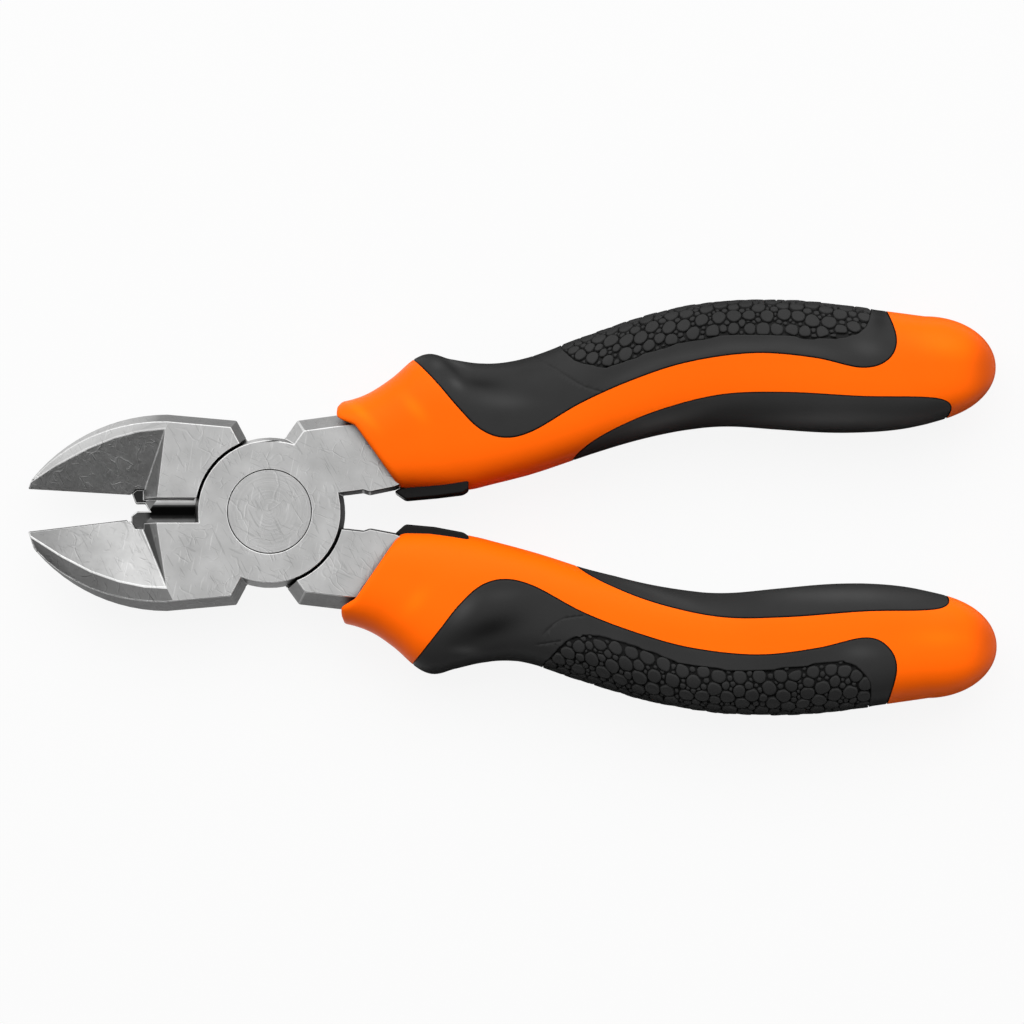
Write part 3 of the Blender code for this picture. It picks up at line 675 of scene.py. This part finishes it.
def painted_tones_of(bm, layers, shape, front):
    """The painted light and shade on each vertex of the three skins, as a change of brightness."""
    # Painted light on the sleeve: its glow all over, and soft spots of highlight and shade.
    painted_tones = {"sleeve": [shape["glow"] - 1 + spots_sum(v.co, shape["sheen"]) for v in bm.verts]}
    # Painted highlights and shade in soft spots on the grips' front.
    soft = np.array([
        spots_sum(v.co, shape["shades"]) * ((v.co.z - MIDDLE) * front > 0) for v in bm.verts
    ])
    # Painted shade on the panel's sunk floor round the pebbles, and along the grips' seams.
    hollow_painted_shading = np.array([0.6 * max(0.0, min(1.0, v[layers[2]] / PANEL_LEVELS[1])) for v in bm.verts])
    _, seam, end = SEAM_LEVELS
    for key, layer in (("outer", layers[0]), ("inner", layers[1])):
        near = np.array([max(0.0, min(1.0, (end - v[layer]) / (end - seam))) for v in bm.verts])
        painted_tones[key] = (1 + soft) * (1 - 0.75 * near) * (1 - hollow_painted_shading) - 1
    return painted_tones


def face_outwards(node):
    """Turns the faces of a mesh to its outside."""
    bm = bmesh.new()
    bm.from_mesh(node.data)
    bmesh.ops.recalc_face_normals(bm, faces=bm.faces)
    bm.to_mesh(node.data)
    bm.free()


def handle(label, body, matrix, shape, seed):
    """Sleeve, grips and pebbled panel of one handle."""
    palm = Palm(shape)
    front = 1 if label == "upper" else -1
    rings = rings_of(shape)
    flat = np.array(rings).reshape(-1, 3)
    bm = bmesh.new()
    layers = [bm.verts.layers.float.new(n) for n in ("outer", "inner", "panel", "crease")]
    verts = []
    for p, *values in zip(flat, *borders(flat, palm, shape, front)):
        v = bm.verts.new(p)
        for layer, value in zip(layers, values):
            v[layer] = value
        verts.append(v)
    for corners in tube(len(rings), SIDES):
        bm.faces.new([verts[k] for k in corners])
    bm.faces.new(verts[-SIDES:])
    for which, levels in enumerate((SEAM_LEVELS, SEAM_LEVELS, PANEL_LEVELS, CREASE_LEVELS)):
        for level in levels:
            cut(bm, layers, which, level)
    bm.normal_update()
    moves = moves_of(bm, layers, shape["creases"], front)
    painted_tones = painted_tones_of(bm, layers, shape, front)
    bm.verts.index_update()
    shells = {"sleeve": [], "outer": [], "inner": []}
    for f in bm.faces:
        o = sum(v[layers[0]] for v in f.verts) / len(f.verts)
        i = sum(v[layers[1]] for v in f.verts) / len(f.verts)
        shells["outer" if o > 0 else "inner" if i > 0 else "sleeve"].append(f)
    made = {}
    for key, chosen in shells.items():
        places = np.array([v.co + move[key != "sleeve"] for v, move in zip(bm.verts, moves)])
        used = sorted({v.index for f in chosen for v in f.verts})
        renumber = {old: new for new, old in enumerate(used)}
        faces = [[renumber[v.index] for v in f.verts] for f in chosen]
        points = list(places[used])
        if key == "sleeve":
            # The mouth's inside is black, as painted shade in the gap round the tang, and so is a skirt
            # below the borders, which closes the seams.
            black_faces = [all(v.index < 2 * SIDES for v in f.verts) for f in chosen]
            shown = set(chosen)
            for e in (e for f in chosen for e in f.edges):
                if len(e.link_faces) == 2 and not shown.issuperset(e.link_faces):
                    first, second = e.verts
                    a, b = Vector(places[first.index]), Vector(places[second.index])
                    faces.append(list(range(len(points), len(points) + 4)))
                    points += [a, b, b - second.normal * SKIRT_DEPTH, a - first.normal * SKIRT_DEPTH]
                    black_faces.append(True)
        made[key] = build_mesh(f"{label}_{key}_skin", points, faces, matrix)
        # The painted light and shade go on each vertex as its tone.
        tone = made[key].data.attributes.new("tone", "FLOAT", "POINT")
        values = [painted_tones[key][n] for n in used] + [0.0] * (len(points) - len(used))
        tone.data.foreach_set("value", values)
    bm.free()
    verts, faces = pebbles(palm, seed)
    made["pebbles"] = build_mesh(f"{label}_pebbles", verts, faces, matrix)
    for key, target in (
        ("sleeve", "handle_sleeve"), ("outer", "outer_grip"), ("inner", "inner_grip"),
    ):
        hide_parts(f"{label}_{target}")
    for key, node in made.items():
        face_outwards(node)
        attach(node, body)
        node.data.materials.append(orange if key == "sleeve" else black)
    made["sleeve"].data.materials.append(pad_black)
    for face in made["sleeve"].data.polygons:
        if black_faces[face.index]:
            face.material_index = 1


def nodes_of(name):
    """A new material, its tree and its shader."""
    made = bpy.data.materials.new(name)
    made.use_nodes = True
    tree = made.node_tree
    return made, tree, tree.nodes["Principled BSDF"]


def add(tree, kind, inputs=(), **settings):
    """A new node, its inputs set to values or joined to sockets."""
    node = tree.nodes.new(kind)
    for key, value in settings.items():
        setattr(node, key, value)
    for key, value in dict(inputs).items():
        if isinstance(value, bpy.types.NodeSocket):
            tree.links.new(value, node.inputs[key])
        else:
            node.inputs[key].default_value = value
    return node


def ramp(tree, source, stops, curve="LINEAR"):
    """The colour that the stops give for a value."""
    node = tree.nodes.new("ShaderNodeValToRGB")
    node.color_ramp.interpolation = curve
    elements = node.color_ramp.elements
    while len(elements) < len(stops):
        elements.new(0.5)
    for element, (at, value) in zip(elements, stops):
        element.position = at
        element.color = (*value, 1) if isinstance(value, tuple) else (value, value, value, 1)
    tree.links.new(source, node.inputs["Fac"])
    return node.outputs["Color"]


def math_node(tree, operation, *values, clamp=False):
    """The result of a calculation on values or sockets."""
    inputs = dict(enumerate(values))
    return add(tree, "ShaderNodeMath", inputs, operation=operation, use_clamp=clamp).outputs[0]


def times(tree, first, second):
    """The product of two values or sockets."""
    return math_node(tree, "MULTIPLY", first, second)


def mapped(tree, value, low, high, start=0, end=1):
    """The value's way from low to high, as the same share of the way from start to end."""
    return add(tree, "ShaderNodeMapRange", {0: value, 1: low, 2: high, 3: start, 4: end}).outputs[0]


def noise(tree, place, scale, detail):
    """Soft noise between 0 and 1."""
    inputs = {"Vector": place, "Scale": scale, "Detail": detail}
    return add(tree, "ShaderNodeTexNoise", inputs).outputs["Fac"]


def blend(tree, share, first, second, kind="MIX"):
    """One colour mixed into another."""
    inputs = {0: share, 6: first, 7: second}
    return add(tree, "ShaderNodeMix", inputs, data_type="RGBA", blend_type=kind).outputs[2]


def plain(name, level, roughness):
    """A material of one grey."""
    made, tree, shader = nodes_of(name)
    shader.inputs["Base Color"].default_value = (level, level, level, 1)
    shader.inputs["Roughness"].default_value = roughness
    return made, tree, shader


def plastic(name, color, variation, roughness, grain, depth, specular, turned_away_shade=0):
    """Moulded plastic, painted light and shade on its skin, and painted shade where it faces down or out.
    """
    made, tree, shader = nodes_of(name)
    shader.inputs["Specular IOR Level"].default_value = specular
    coordinates = add(tree, "ShaderNodeTexCoord").outputs
    place = coordinates["Object"]
    dark = tuple(c * (1 - variation) for c in color)
    light = tuple(min(1, c * (1 + variation)) for c in color)
    shade = ramp(tree, noise(tree, place, 60, 4), [(0.3, dark), (0.7, light)])
    tone = add(tree, "ShaderNodeAttribute", attribute_name="tone").outputs["Fac"]
    gain = math_node(tree, "ADD", tone, 1)
    facing = add(tree, "ShaderNodeSeparateXYZ", {0: coordinates["Normal"]}).outputs
    # Painted shade where the face turns down or out, away from the light.
    for axis, start, end in ((1, -0.25, -0.9), (0, 0.4, 0.95)):
        gain = times(tree, gain, mapped(tree, facing[axis], start, end, 1, 1 - turned_away_shade))
    tree.links.new(blend(tree, 1, shade, gain, "MULTIPLY"), shader.inputs["Base Color"])
    fine = noise(tree, place, grain, 3)
    rough = ramp(tree, fine, [(0.2, roughness - 0.05), (0.8, roughness + 0.06)])
    tree.links.new(rough, shader.inputs["Roughness"])
    bump = add(tree, "ShaderNodeBump", {"Height": fine, "Strength": depth, "Distance": 0.0001})
    tree.links.new(bump.outputs["Normal"], shader.inputs["Normal"])
    return made


def scribbles(tree, place, scale, bend, seed, share):
    """Thin curved lines in broken pieces, as a mask."""
    offset = {"Vector": place, "Location": (seed, seed * 0.7, 0)}
    moved = add(tree, "ShaderNodeMapping", offset).outputs[0]
    warp = add(tree, "ShaderNodeTexNoise", {"Vector": moved, "Scale": scale * 0.7, "Detail": 2.0})
    shift = add(tree, "ShaderNodeVectorMath", {
        0: warp.outputs["Color"], 1: (bend, bend, bend),
    }, operation="MULTIPLY")
    bent = add(tree, "ShaderNodeVectorMath", {0: moved, 1: shift.outputs[0]}, operation="ADD")
    cells = add(tree, "ShaderNodeTexVoronoi", {"Vector": bent.outputs[0], "Scale": scale},
                feature="DISTANCE_TO_EDGE")
    line = mapped(tree, cells.outputs["Distance"], 0, 0.045, 1, 0)
    return times(tree, line, mapped(tree, noise(tree, moved, scale * 1.1, 1), share, share + 0.06))


def scratches(tree, place, angle, seed, share):
    """Fine straight scratches in one direction, in patches, as a mask."""
    turned = add(tree, "ShaderNodeMapping", {
        "Vector": place, "Location": (seed, -seed, 0), "Rotation": (0, 0, math.radians(angle)),
    })
    drawn = add(tree, "ShaderNodeMapping", {
        "Vector": turned.outputs[0], "Scale": (220, 2600, 300),
    })
    return mapped(tree, noise(tree, drawn.outputs[0], 1, 1), share, share + 0.04)


def patch(tree, x, y, corners):
    """1 inside the corners, given anticlockwise in mm, and 0 outside, with a soft edge."""
    mask = 1
    for (ax, ay), (bx, by) in zip(corners, corners[1:] + corners[:1]):
        run = math.hypot(bx - ax, by - ay) * PATCH_EDGE
        along, up = (bx - ax) / run, (by - ay) / run
        reach = math_node(
            tree, "ADD", math_node(tree, "MULTIPLY_ADD", x, -up, up * ax * MM),
            math_node(tree, "MULTIPLY_ADD", y, along, -along * ay * MM), clamp=True,
        )
        mask = times(tree, mask, reach)
    return mask


def recess_shade(tree, place, facing, shade):
    """The steel's shade, with painted light and shade in the slot, on its facets and the faces round it.
    """
    x, y, z = place
    # Painted reflection: the jaw faces that tilt up grow darker towards the tip.
    fall = mapped(tree, x, -0.042, -0.024, 0.45, 1)
    bright = mapped(tree, facing[1], 0.2, 0.3)
    bright = times(tree, bright, math_node(tree, "GREATER_THAN", facing[2], 0.5))
    bright = times(tree, bright, math_node(tree, "LESS_THAN", x, -0.019))
    shade = blend(tree, bright, shade, times(tree, shade, fall))
    # Painted shade in the slot: black in its depth, light on its walls, darker on the tabs at its end.
    across = mapped(tree, y, -0.0022, 0.0026)
    band = ramp(tree, across, [
        (0, 0.34), (0.14, 0.2), (0.28, 0.02), (0.4, 0.003), (0.66, 0.003), (0.74, 0.05),
        (0.8, 0.5), (0.9, 0.95),
    ], "EASE")
    tab = ramp(tree, across, [(0, 0.2), (0.45, 0.14), (0.62, 0.05)])
    hollow_painted_shading = blend(tree, mapped(tree, x, -0.0231, -0.0222), tab, times(tree, band, 1.9))
    # Patches of painted light where small facets would catch it.
    for corners, level in PAINTED_FACETS:
        hollow_painted_shading = blend(tree, patch(tree, x, y, corners), hollow_painted_shading, (level, level, level, 1))
    # Painted shade on the lower jaw's face where it turns away towards its pocket.
    for corners, level in PAINTED_WEDGE:
        upright = math_node(tree, "GREATER_THAN", facing[2], 0.3)
        mask = times(tree, patch(tree, x, y, corners), upright)
        shade = blend(tree, mask, shade, times(tree, shade, level))
    within = 1
    for value, low, high in ((x, -0.0265, -0.0123), (y, -0.0046, 0.0046), (z, 0.0052, 0.00542)):
        for limit, kind in ((low, "GREATER_THAN"), (high, "LESS_THAN")):
            within = times(tree, within, math_node(tree, kind, value, limit))
    return blend(tree, within, shade, hollow_painted_shading)


def steel(name, tone, turned=False, recess=False):
    """Ground steel: cloudy, finely scratched, with painted shade in hollows and painted light by facing.
    """
    made, tree, shader = nodes_of(name)
    shader.inputs["Metallic"].default_value = 1
    coordinates = add(tree, "ShaderNodeTexCoord").outputs
    place = coordinates["Object"]
    x, y, z = add(tree, "ShaderNodeSeparateXYZ", {0: place}).outputs
    facing = add(tree, "ShaderNodeSeparateXYZ", {0: coordinates["Normal"]}).outputs
    cloud = noise(tree, place, 170, 7)
    color = ramp(tree, cloud, [
        (0.3, (tone * 0.86, tone * 0.86, tone * 0.855)),
        (0.7, (tone * 1.08, tone * 1.08, tone * 1.075)),
    ])
    fine = noise(tree, place, 1400, 4)
    marks = [
        (scribbles(tree, place, 230, 0.006, 0.31, 0.5), 0.4),
        (scribbles(tree, place, 480, 0.003, 0.83, 0.54), 0.25),
        (scratches(tree, place, 62, 0.2, 0.66), -0.12),
        (scratches(tree, place, 101, 0.5, 0.67), -0.12),
        (scratches(tree, place, 25, 0.8, 0.68), -0.1),
    ]
    # The same scribbles again, a little to the side, are painted highlights along their edges.
    lit = [scribbles(tree, place, 230, 0.006, 0.31012, 0.5),
           scribbles(tree, place, 480, 0.003, 0.83008, 0.54)]
    tint = 1
    for mark, change in zip([m for m, _ in marks] + lit, (-0.3, -0.22, -0.16, 0.14, -0.14, 0.3, 0.2)):
        tint = math_node(tree, "MULTIPLY_ADD", mark, change, tint)
    relief = times(tree, cloud, 0.9)
    for mark, depth in marks:
        relief = math_node(tree, "ADD", relief, times(tree, mark, depth))
    if turned:
        radius = math_node(tree, "SQRT", math_node(
            tree, "ADD", math_node(tree, "POWER", x, 2), math_node(tree, "POWER", y, 2),
        ))
        lathe = add(tree, "ShaderNodeCombineXYZ", {
            0: times(tree, radius, 3200), 1: times(tree, math_node(tree, "ARCTAN2", y, x), 0.55),
        })
        grooves = add(tree, "ShaderNodeTexNoise", {
            "Vector": lathe.outputs[0], "Scale": 1, "Detail": 3, "Roughness": 0.6,
        }).outputs["Fac"]
        relief = math_node(tree, "ADD", relief, times(tree, grooves, 0.9))
        color = blend(tree, 1, color, ramp(tree, grooves, [(0.3, 0.88), (0.7, 1)]), "MULTIPLY")
    # Painted light on the flanks: lighter facing up and towards the tip, darker facing down and back.
    upward = math_node(tree, "ADD", 0.5, math_node(
        tree, "ADD", times(tree, facing[1], 0.3), times(tree, facing[0], -0.4),
    ))
    side = ramp(tree, upward, [
        (0.05, 0.1), (0.2, 0.14), (0.36, 0.1), (0.46, 0.18), (0.57, 0.24), (0.72, 0.25), (0.79, 0.3),
        (0.83, 0.7), (0.87, 1), (1, 1),
    ])
    level = math_node(tree, "ABSOLUTE", facing[2])
    flank = blend(tree, mapped(tree, level, 0.35, 0.75, 1, 0), (1, 1, 1, 1), side)
    # Painted shade on the flanks between the tangs.
    between = times(
        tree, math_node(tree, "GREATER_THAN", x, TANG_GAP * MM),
        math_node(tree, "LESS_THAN", math_node(tree, "ABSOLUTE", y), TANG_GAP * MM),
    )
    tilted = mapped(tree, level, 0.8, 0.95, 1, 0)
    flank = blend(tree, times(tree, between, tilted), flank, (0.03, 0.03, 0.03, 1))
    # Painted shade in hollows, taken from ambient occlusion.
    hollow = add(tree, "ShaderNodeAmbientOcclusion", {"Distance": 0.004}, samples=8)
    occlusion_shade = mapped(tree, hollow.outputs["AO"], 0.25, 0.75, 0.06, 1)
    shade = times(tree, times(tree, flank, occlusion_shade), tint)
    if recess:
        shade = recess_shade(tree, (x, y, z), facing, shade)
    tree.links.new(blend(tree, 1, color, shade, "MULTIPLY"), shader.inputs["Base Color"])
    tree.links.new(ramp(tree, fine, [(0.2, 0.33), (0.8, 0.45)]), shader.inputs["Roughness"])
    bump = add(tree, "ShaderNodeBump", {"Height": relief, "Strength": 0.5, "Distance": 0.00012})
    second = add(tree, "ShaderNodeBump", {
        "Height": fine, "Strength": 0.25, "Distance": 0.00003, "Normal": bump.outputs["Normal"],
    })
    tree.links.new(second.outputs["Normal"], shader.inputs["Normal"])
    return made


orange = plastic("orange_moulding", (0.96, 0.125, 0.002), 0.03, 0.4, 2500, 0.06, 0.06, 0.22)
black = plastic("black_soft_grip", (0.025, 0.025, 0.025), 0.12, 0.42, 1800, 0.15, 0.07)
pad_black = plastic("black_stop_pad", (0.006, 0.006, 0.006), 0.1, 0.3, 1800, 0.1, 0.1)
lever_steel = steel("ground_steel", 0.5, recess=True)
# Rounded edges: lighter for wear and for a painted highlight.
worn_and_lit_edge_steel = steel("edge_wear_and_painted_highlight", 0.78)
# Painted light on the upper jaw's crown, which faces up, and painted shade on the lower's.
upper_crown_painted_light_steel = steel("upper_crown_painted_light_steel", 0.56)
lower_crown_painted_shade_steel = steel("lower_crown_painted_shade_steel", 0.2)
# Painted shade for the flanks between the tangs.
shadowed_steel, _, shader = plain("shadowed_steel", 0.03, 0.6)
shader.inputs["Specular IOR Level"].default_value = 0.1
rivet_steel = steel("turned_steel", 0.52, turned=True)

upper = Matrix.Scale(MM, 4) @ Matrix.Rotation(math.radians(TURN), 4, "Z")
flip = Matrix.Translation((0, 0, 2 * MIDDLE)) @ Matrix.Rotation(math.pi, 4, "X")
lower = Matrix.Scale(MM, 4) @ flip @ Matrix.Rotation(math.radians(-TURN), 4, "Z")
handle("upper", "front_half", upper, UPPER_SHAPE, seed=11)
handle("lower", "rear_half", lower, LOWER_SHAPE, seed=23)


def weighted(node):
    """A modifier that lets the normals follow the large faces."""
    modifier = node.modifiers.new("weighted", "WEIGHTED_NORMAL")
    modifier.weight = 100
    return modifier


def rounded_lever(node, name):
    """A copy of a lever with its edges rounded, which stands for the CAD node."""
    source = frame["nodes"][node]
    copy = linked(name, source.data.copy())
    bm = bmesh.new()
    bm.from_mesh(copy.data)
    bmesh.ops.remove_doubles(bm, verts=bm.verts, dist=WELD)
    bmesh.ops.dissolve_degenerate(bm, dist=SLIVER, edges=bm.edges)
    bmesh.ops.dissolve_limit(
        bm, angle_limit=math.radians(0.6), verts=bm.verts, edges=bm.edges, use_dissolve_boundaries=False,
    )
    for v in bm.verts:
        x, y, z = v.co / MM
        around = [f.normal for f in v.link_faces]
        crown = any(0.85 < n.z < 0.9995 and n.x < -0.03 and n.y * y > 0 for n in around)
        slope = any(n.z > 0.3 and abs(n.y) > 0.2 and n.y * y < 0 for n in around)
        if x < -19 and z > 6 and abs(y) > 3 and crown and slope:
            by = float(np.interp(x, *zip(*(UPPER_BEVEL_LIFT if y > 0 else LOWER_BEVEL_LIFT))))
            aside, down = 0.35 * (x > -20 and y > 0), -0.17 * by * (x < -20)
            v.co += Vector((aside, math.copysign(by, y), down)) * MM
    bm.to_mesh(copy.data)
    bm.free()
    copy.data.materials.clear()
    for each in (lever_steel, worn_and_lit_edge_steel, upper_crown_painted_light_steel, lower_crown_painted_shade_steel, shadowed_steel):
        copy.data.materials.append(each)
    for face in copy.data.polygons:
        x, y, z = face.center / MM
        # The upper jaw's crown gets painted light and the lower's painted shade.
        if x < -19 and face.normal.x < -0.03 and 0.85 < face.normal.z < 0.9995 and abs(y) > 3:
            if face.normal.x * math.copysign(1, y) * face.normal.y < 0 and z > 6:
                face.material_index = 2 if y > 0 else 3
        # Flanks between the tangs get painted shade.
        if x > TANG_GAP > abs(y) and abs(face.normal.z) < 0.3:
            face.material_index = 4
    bevel = copy.modifiers.new("edges", "BEVEL")
    # Rounded edges get the lighter steel of wear and painted highlight.
    bevel.material = 1
    bevel.width = EDGE_RADIUS
    bevel.segments = 2
    bevel.limit_method = "ANGLE"
    bevel.angle_limit = math.radians(22)
    bevel.use_clamp_overlap = False
    copy.data.shade_smooth()
    weighted(copy).keep_sharp = True
    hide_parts(node)
    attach(copy, source["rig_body"])


rounded_lever("front_lever", "front_lever_steel")
rounded_lever("rear_lever", "rear_lever_steel")


def turned_piece(name, profile, surface):
    """A solid of revolution about the rivet's axis, from radius and height pairs."""
    sides = RIVET_SIDES
    verts = [
        (r * math.cos(2 * math.pi * k / sides), r * math.sin(2 * math.pi * k / sides), z)
        for r, z in profile for k in range(sides)
    ]
    faces = tube(len(profile), sides)
    faces += [tuple(range(sides))[::-1], tuple(range(len(verts) - sides, len(verts)))]
    node = build_mesh(name, verts, faces, Matrix.Scale(MM, 4))
    node.data.materials.append(surface)
    weighted(node)
    return node


profile = [(r, MIDDLE + z) for r, z in RIVET] + [(r, MIDDLE - z) for r, z in RIVET[::-1][1:]]
rivet = turned_piece("rivet_turned", profile, rivet_steel)
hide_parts("pivot_rivet")
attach(rivet, "front_half")


def pad(label, outline, rise):
    """A stop pad from its outline seen from above, with a top that rises along the handle."""
    count = len(outline)
    verts = [(x, y, PAD_BOTTOM) for x, y in outline]
    verts += [(x, y, PAD_TOP + rise * (x - PAD_FRONT) / PAD_LENGTH) for x, y in outline]
    faces = [tuple(range(count))[::-1], tuple(range(count, 2 * count))]
    faces += [(k, (k + 1) % count, count + (k + 1) % count, count + k) for k in range(count)]
    node = build_mesh(f"{label}_pad_skin", verts, faces, Matrix.Scale(MM, 4))
    face_outwards(node)
    bevel = node.modifiers.new("edges", "BEVEL")
    bevel.width = PAD_ROUNDING
    bevel.segments = 3
    bevel.angle_limit = math.radians(20)
    node.data.materials.append(pad_black)
    weighted(node)
    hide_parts(f"{label}_stop_pad")
    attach(node, frame["nodes"][f"{label}_stop_pad"]["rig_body"])


pad("upper", UPPER_PAD, rise=1.9)
pad("lower", LOWER_PAD, rise=1.35)


def board(name, width, depth):
    """A flat rectangle."""
    w, d = width / 2, depth / 2
    mesh = bpy.data.meshes.new(name)
    mesh.from_pydata([(-w, -d, 0), (w, -d, 0), (w, d, 0), (-w, d, 0)], [], [(0, 1, 2, 3)])
    return linked(name, mesh)


floor = board("floor", 8, 8)
floor.location.z = cad_box[0].z - FLOOR_DROP
made, tree, shader = plain("pale_floor", 0.9, 0.9)
glow = add(tree, "ShaderNodeEmission", {"Strength": FLOOR_GLOW})
path = add(tree, "ShaderNodeLightPath").outputs
seen = math_node(tree, "MAXIMUM", path["Is Camera Ray"], path["Is Glossy Ray"])
share = times(tree, seen, FLOOR_SHARE)
mix = add(tree, "ShaderNodeMixShader", {0: share, 1: shader.outputs[0], 2: glow.outputs[0]})
tree.links.new(mix.outputs[0], tree.nodes["Material Output"].inputs["Surface"])
floor.data.materials.append(made)

# The surroundings are white to look at, and light the tool more weakly.
world = bpy.data.worlds.new("studio")
bpy.context.scene.world = world
world.use_nodes = True
tree = world.node_tree
background = tree.nodes["Background"]
background.inputs["Color"].default_value = (1, 1, 1, 1)
path = add(tree, "ShaderNodeLightPath").outputs
seen = math_node(tree, "MAXIMUM", path["Is Camera Ray"], path["Is Glossy Ray"])
seen = math_node(tree, "MAXIMUM", seen, path["Is Transmission Ray"])
tree.links.new(mapped(tree, seen, 0, 1, AMBIENT, 1), background.inputs["Strength"])


def turn(node, back):
    """Turns a node so that its own Z points along a direction."""
    node.rotation_mode = "QUATERNION"
    node.rotation_quaternion = back.to_track_quat("Z", "Y")


def lamp(name, place, size, power):
    """A rectangular lamp that points at the tool."""
    data = bpy.data.lights.new(name, "AREA")
    data.shape = "RECTANGLE"
    data.size, data.size_y = size
    data.energy = power
    node = linked(name, data)
    node.location = place
    turn(node, Vector(place) - TARGET)
    return node


# The soft key light shows in no gloss, and a weaker light gives the plastic its sheen.
key = lamp("key_light", (0, 0.75, 1.15), (2.2, 1.3), KEY_POWER)
key.visible_glossy = False
lamp("sheen_light", (0, 1, 1), (2.2, 1), SHEEN_POWER)


def flag(name, place, size, toward=None):
    """A dark board for dark reflections, which the camera doesn't see."""
    node = board(name, *size)
    node.location = place
    turn(node, toward or TARGET - Vector(place))
    node.data.materials.append(plain(name, 0.01, 1)[0])
    node.visible_camera = False
    node.visible_shadow = False
    return node


under = flag("under_flag", (0.083, 0, floor.location.z + 0.0002), (0.12, 0.14), Vector((0, 0, 1)))
under.visible_diffuse = False
flag("black_flag", (0.045, -0.8, 0.55), (4.5, 0.95))
flag("side_flag", (-1.1, -0.2, 0.5), (0.8, 0.5))

camera_data = bpy.data.cameras.new("camera")
camera_data.lens = LENS
camera_data.sensor_width = SENSOR
camera_data.clip_end = 20
camera = linked("camera", camera_data)
bpy.context.scene.camera = camera
lean = math.radians(CAMERA_ELEVATION)
back = Vector((0, -math.cos(lean), math.sin(lean)))
camera.location = AIM + back * (VIEW_WIDTH / SENSOR * LENS)
turn(camera, back)

bpy.context.scene.view_settings.view_transform = "Standard"
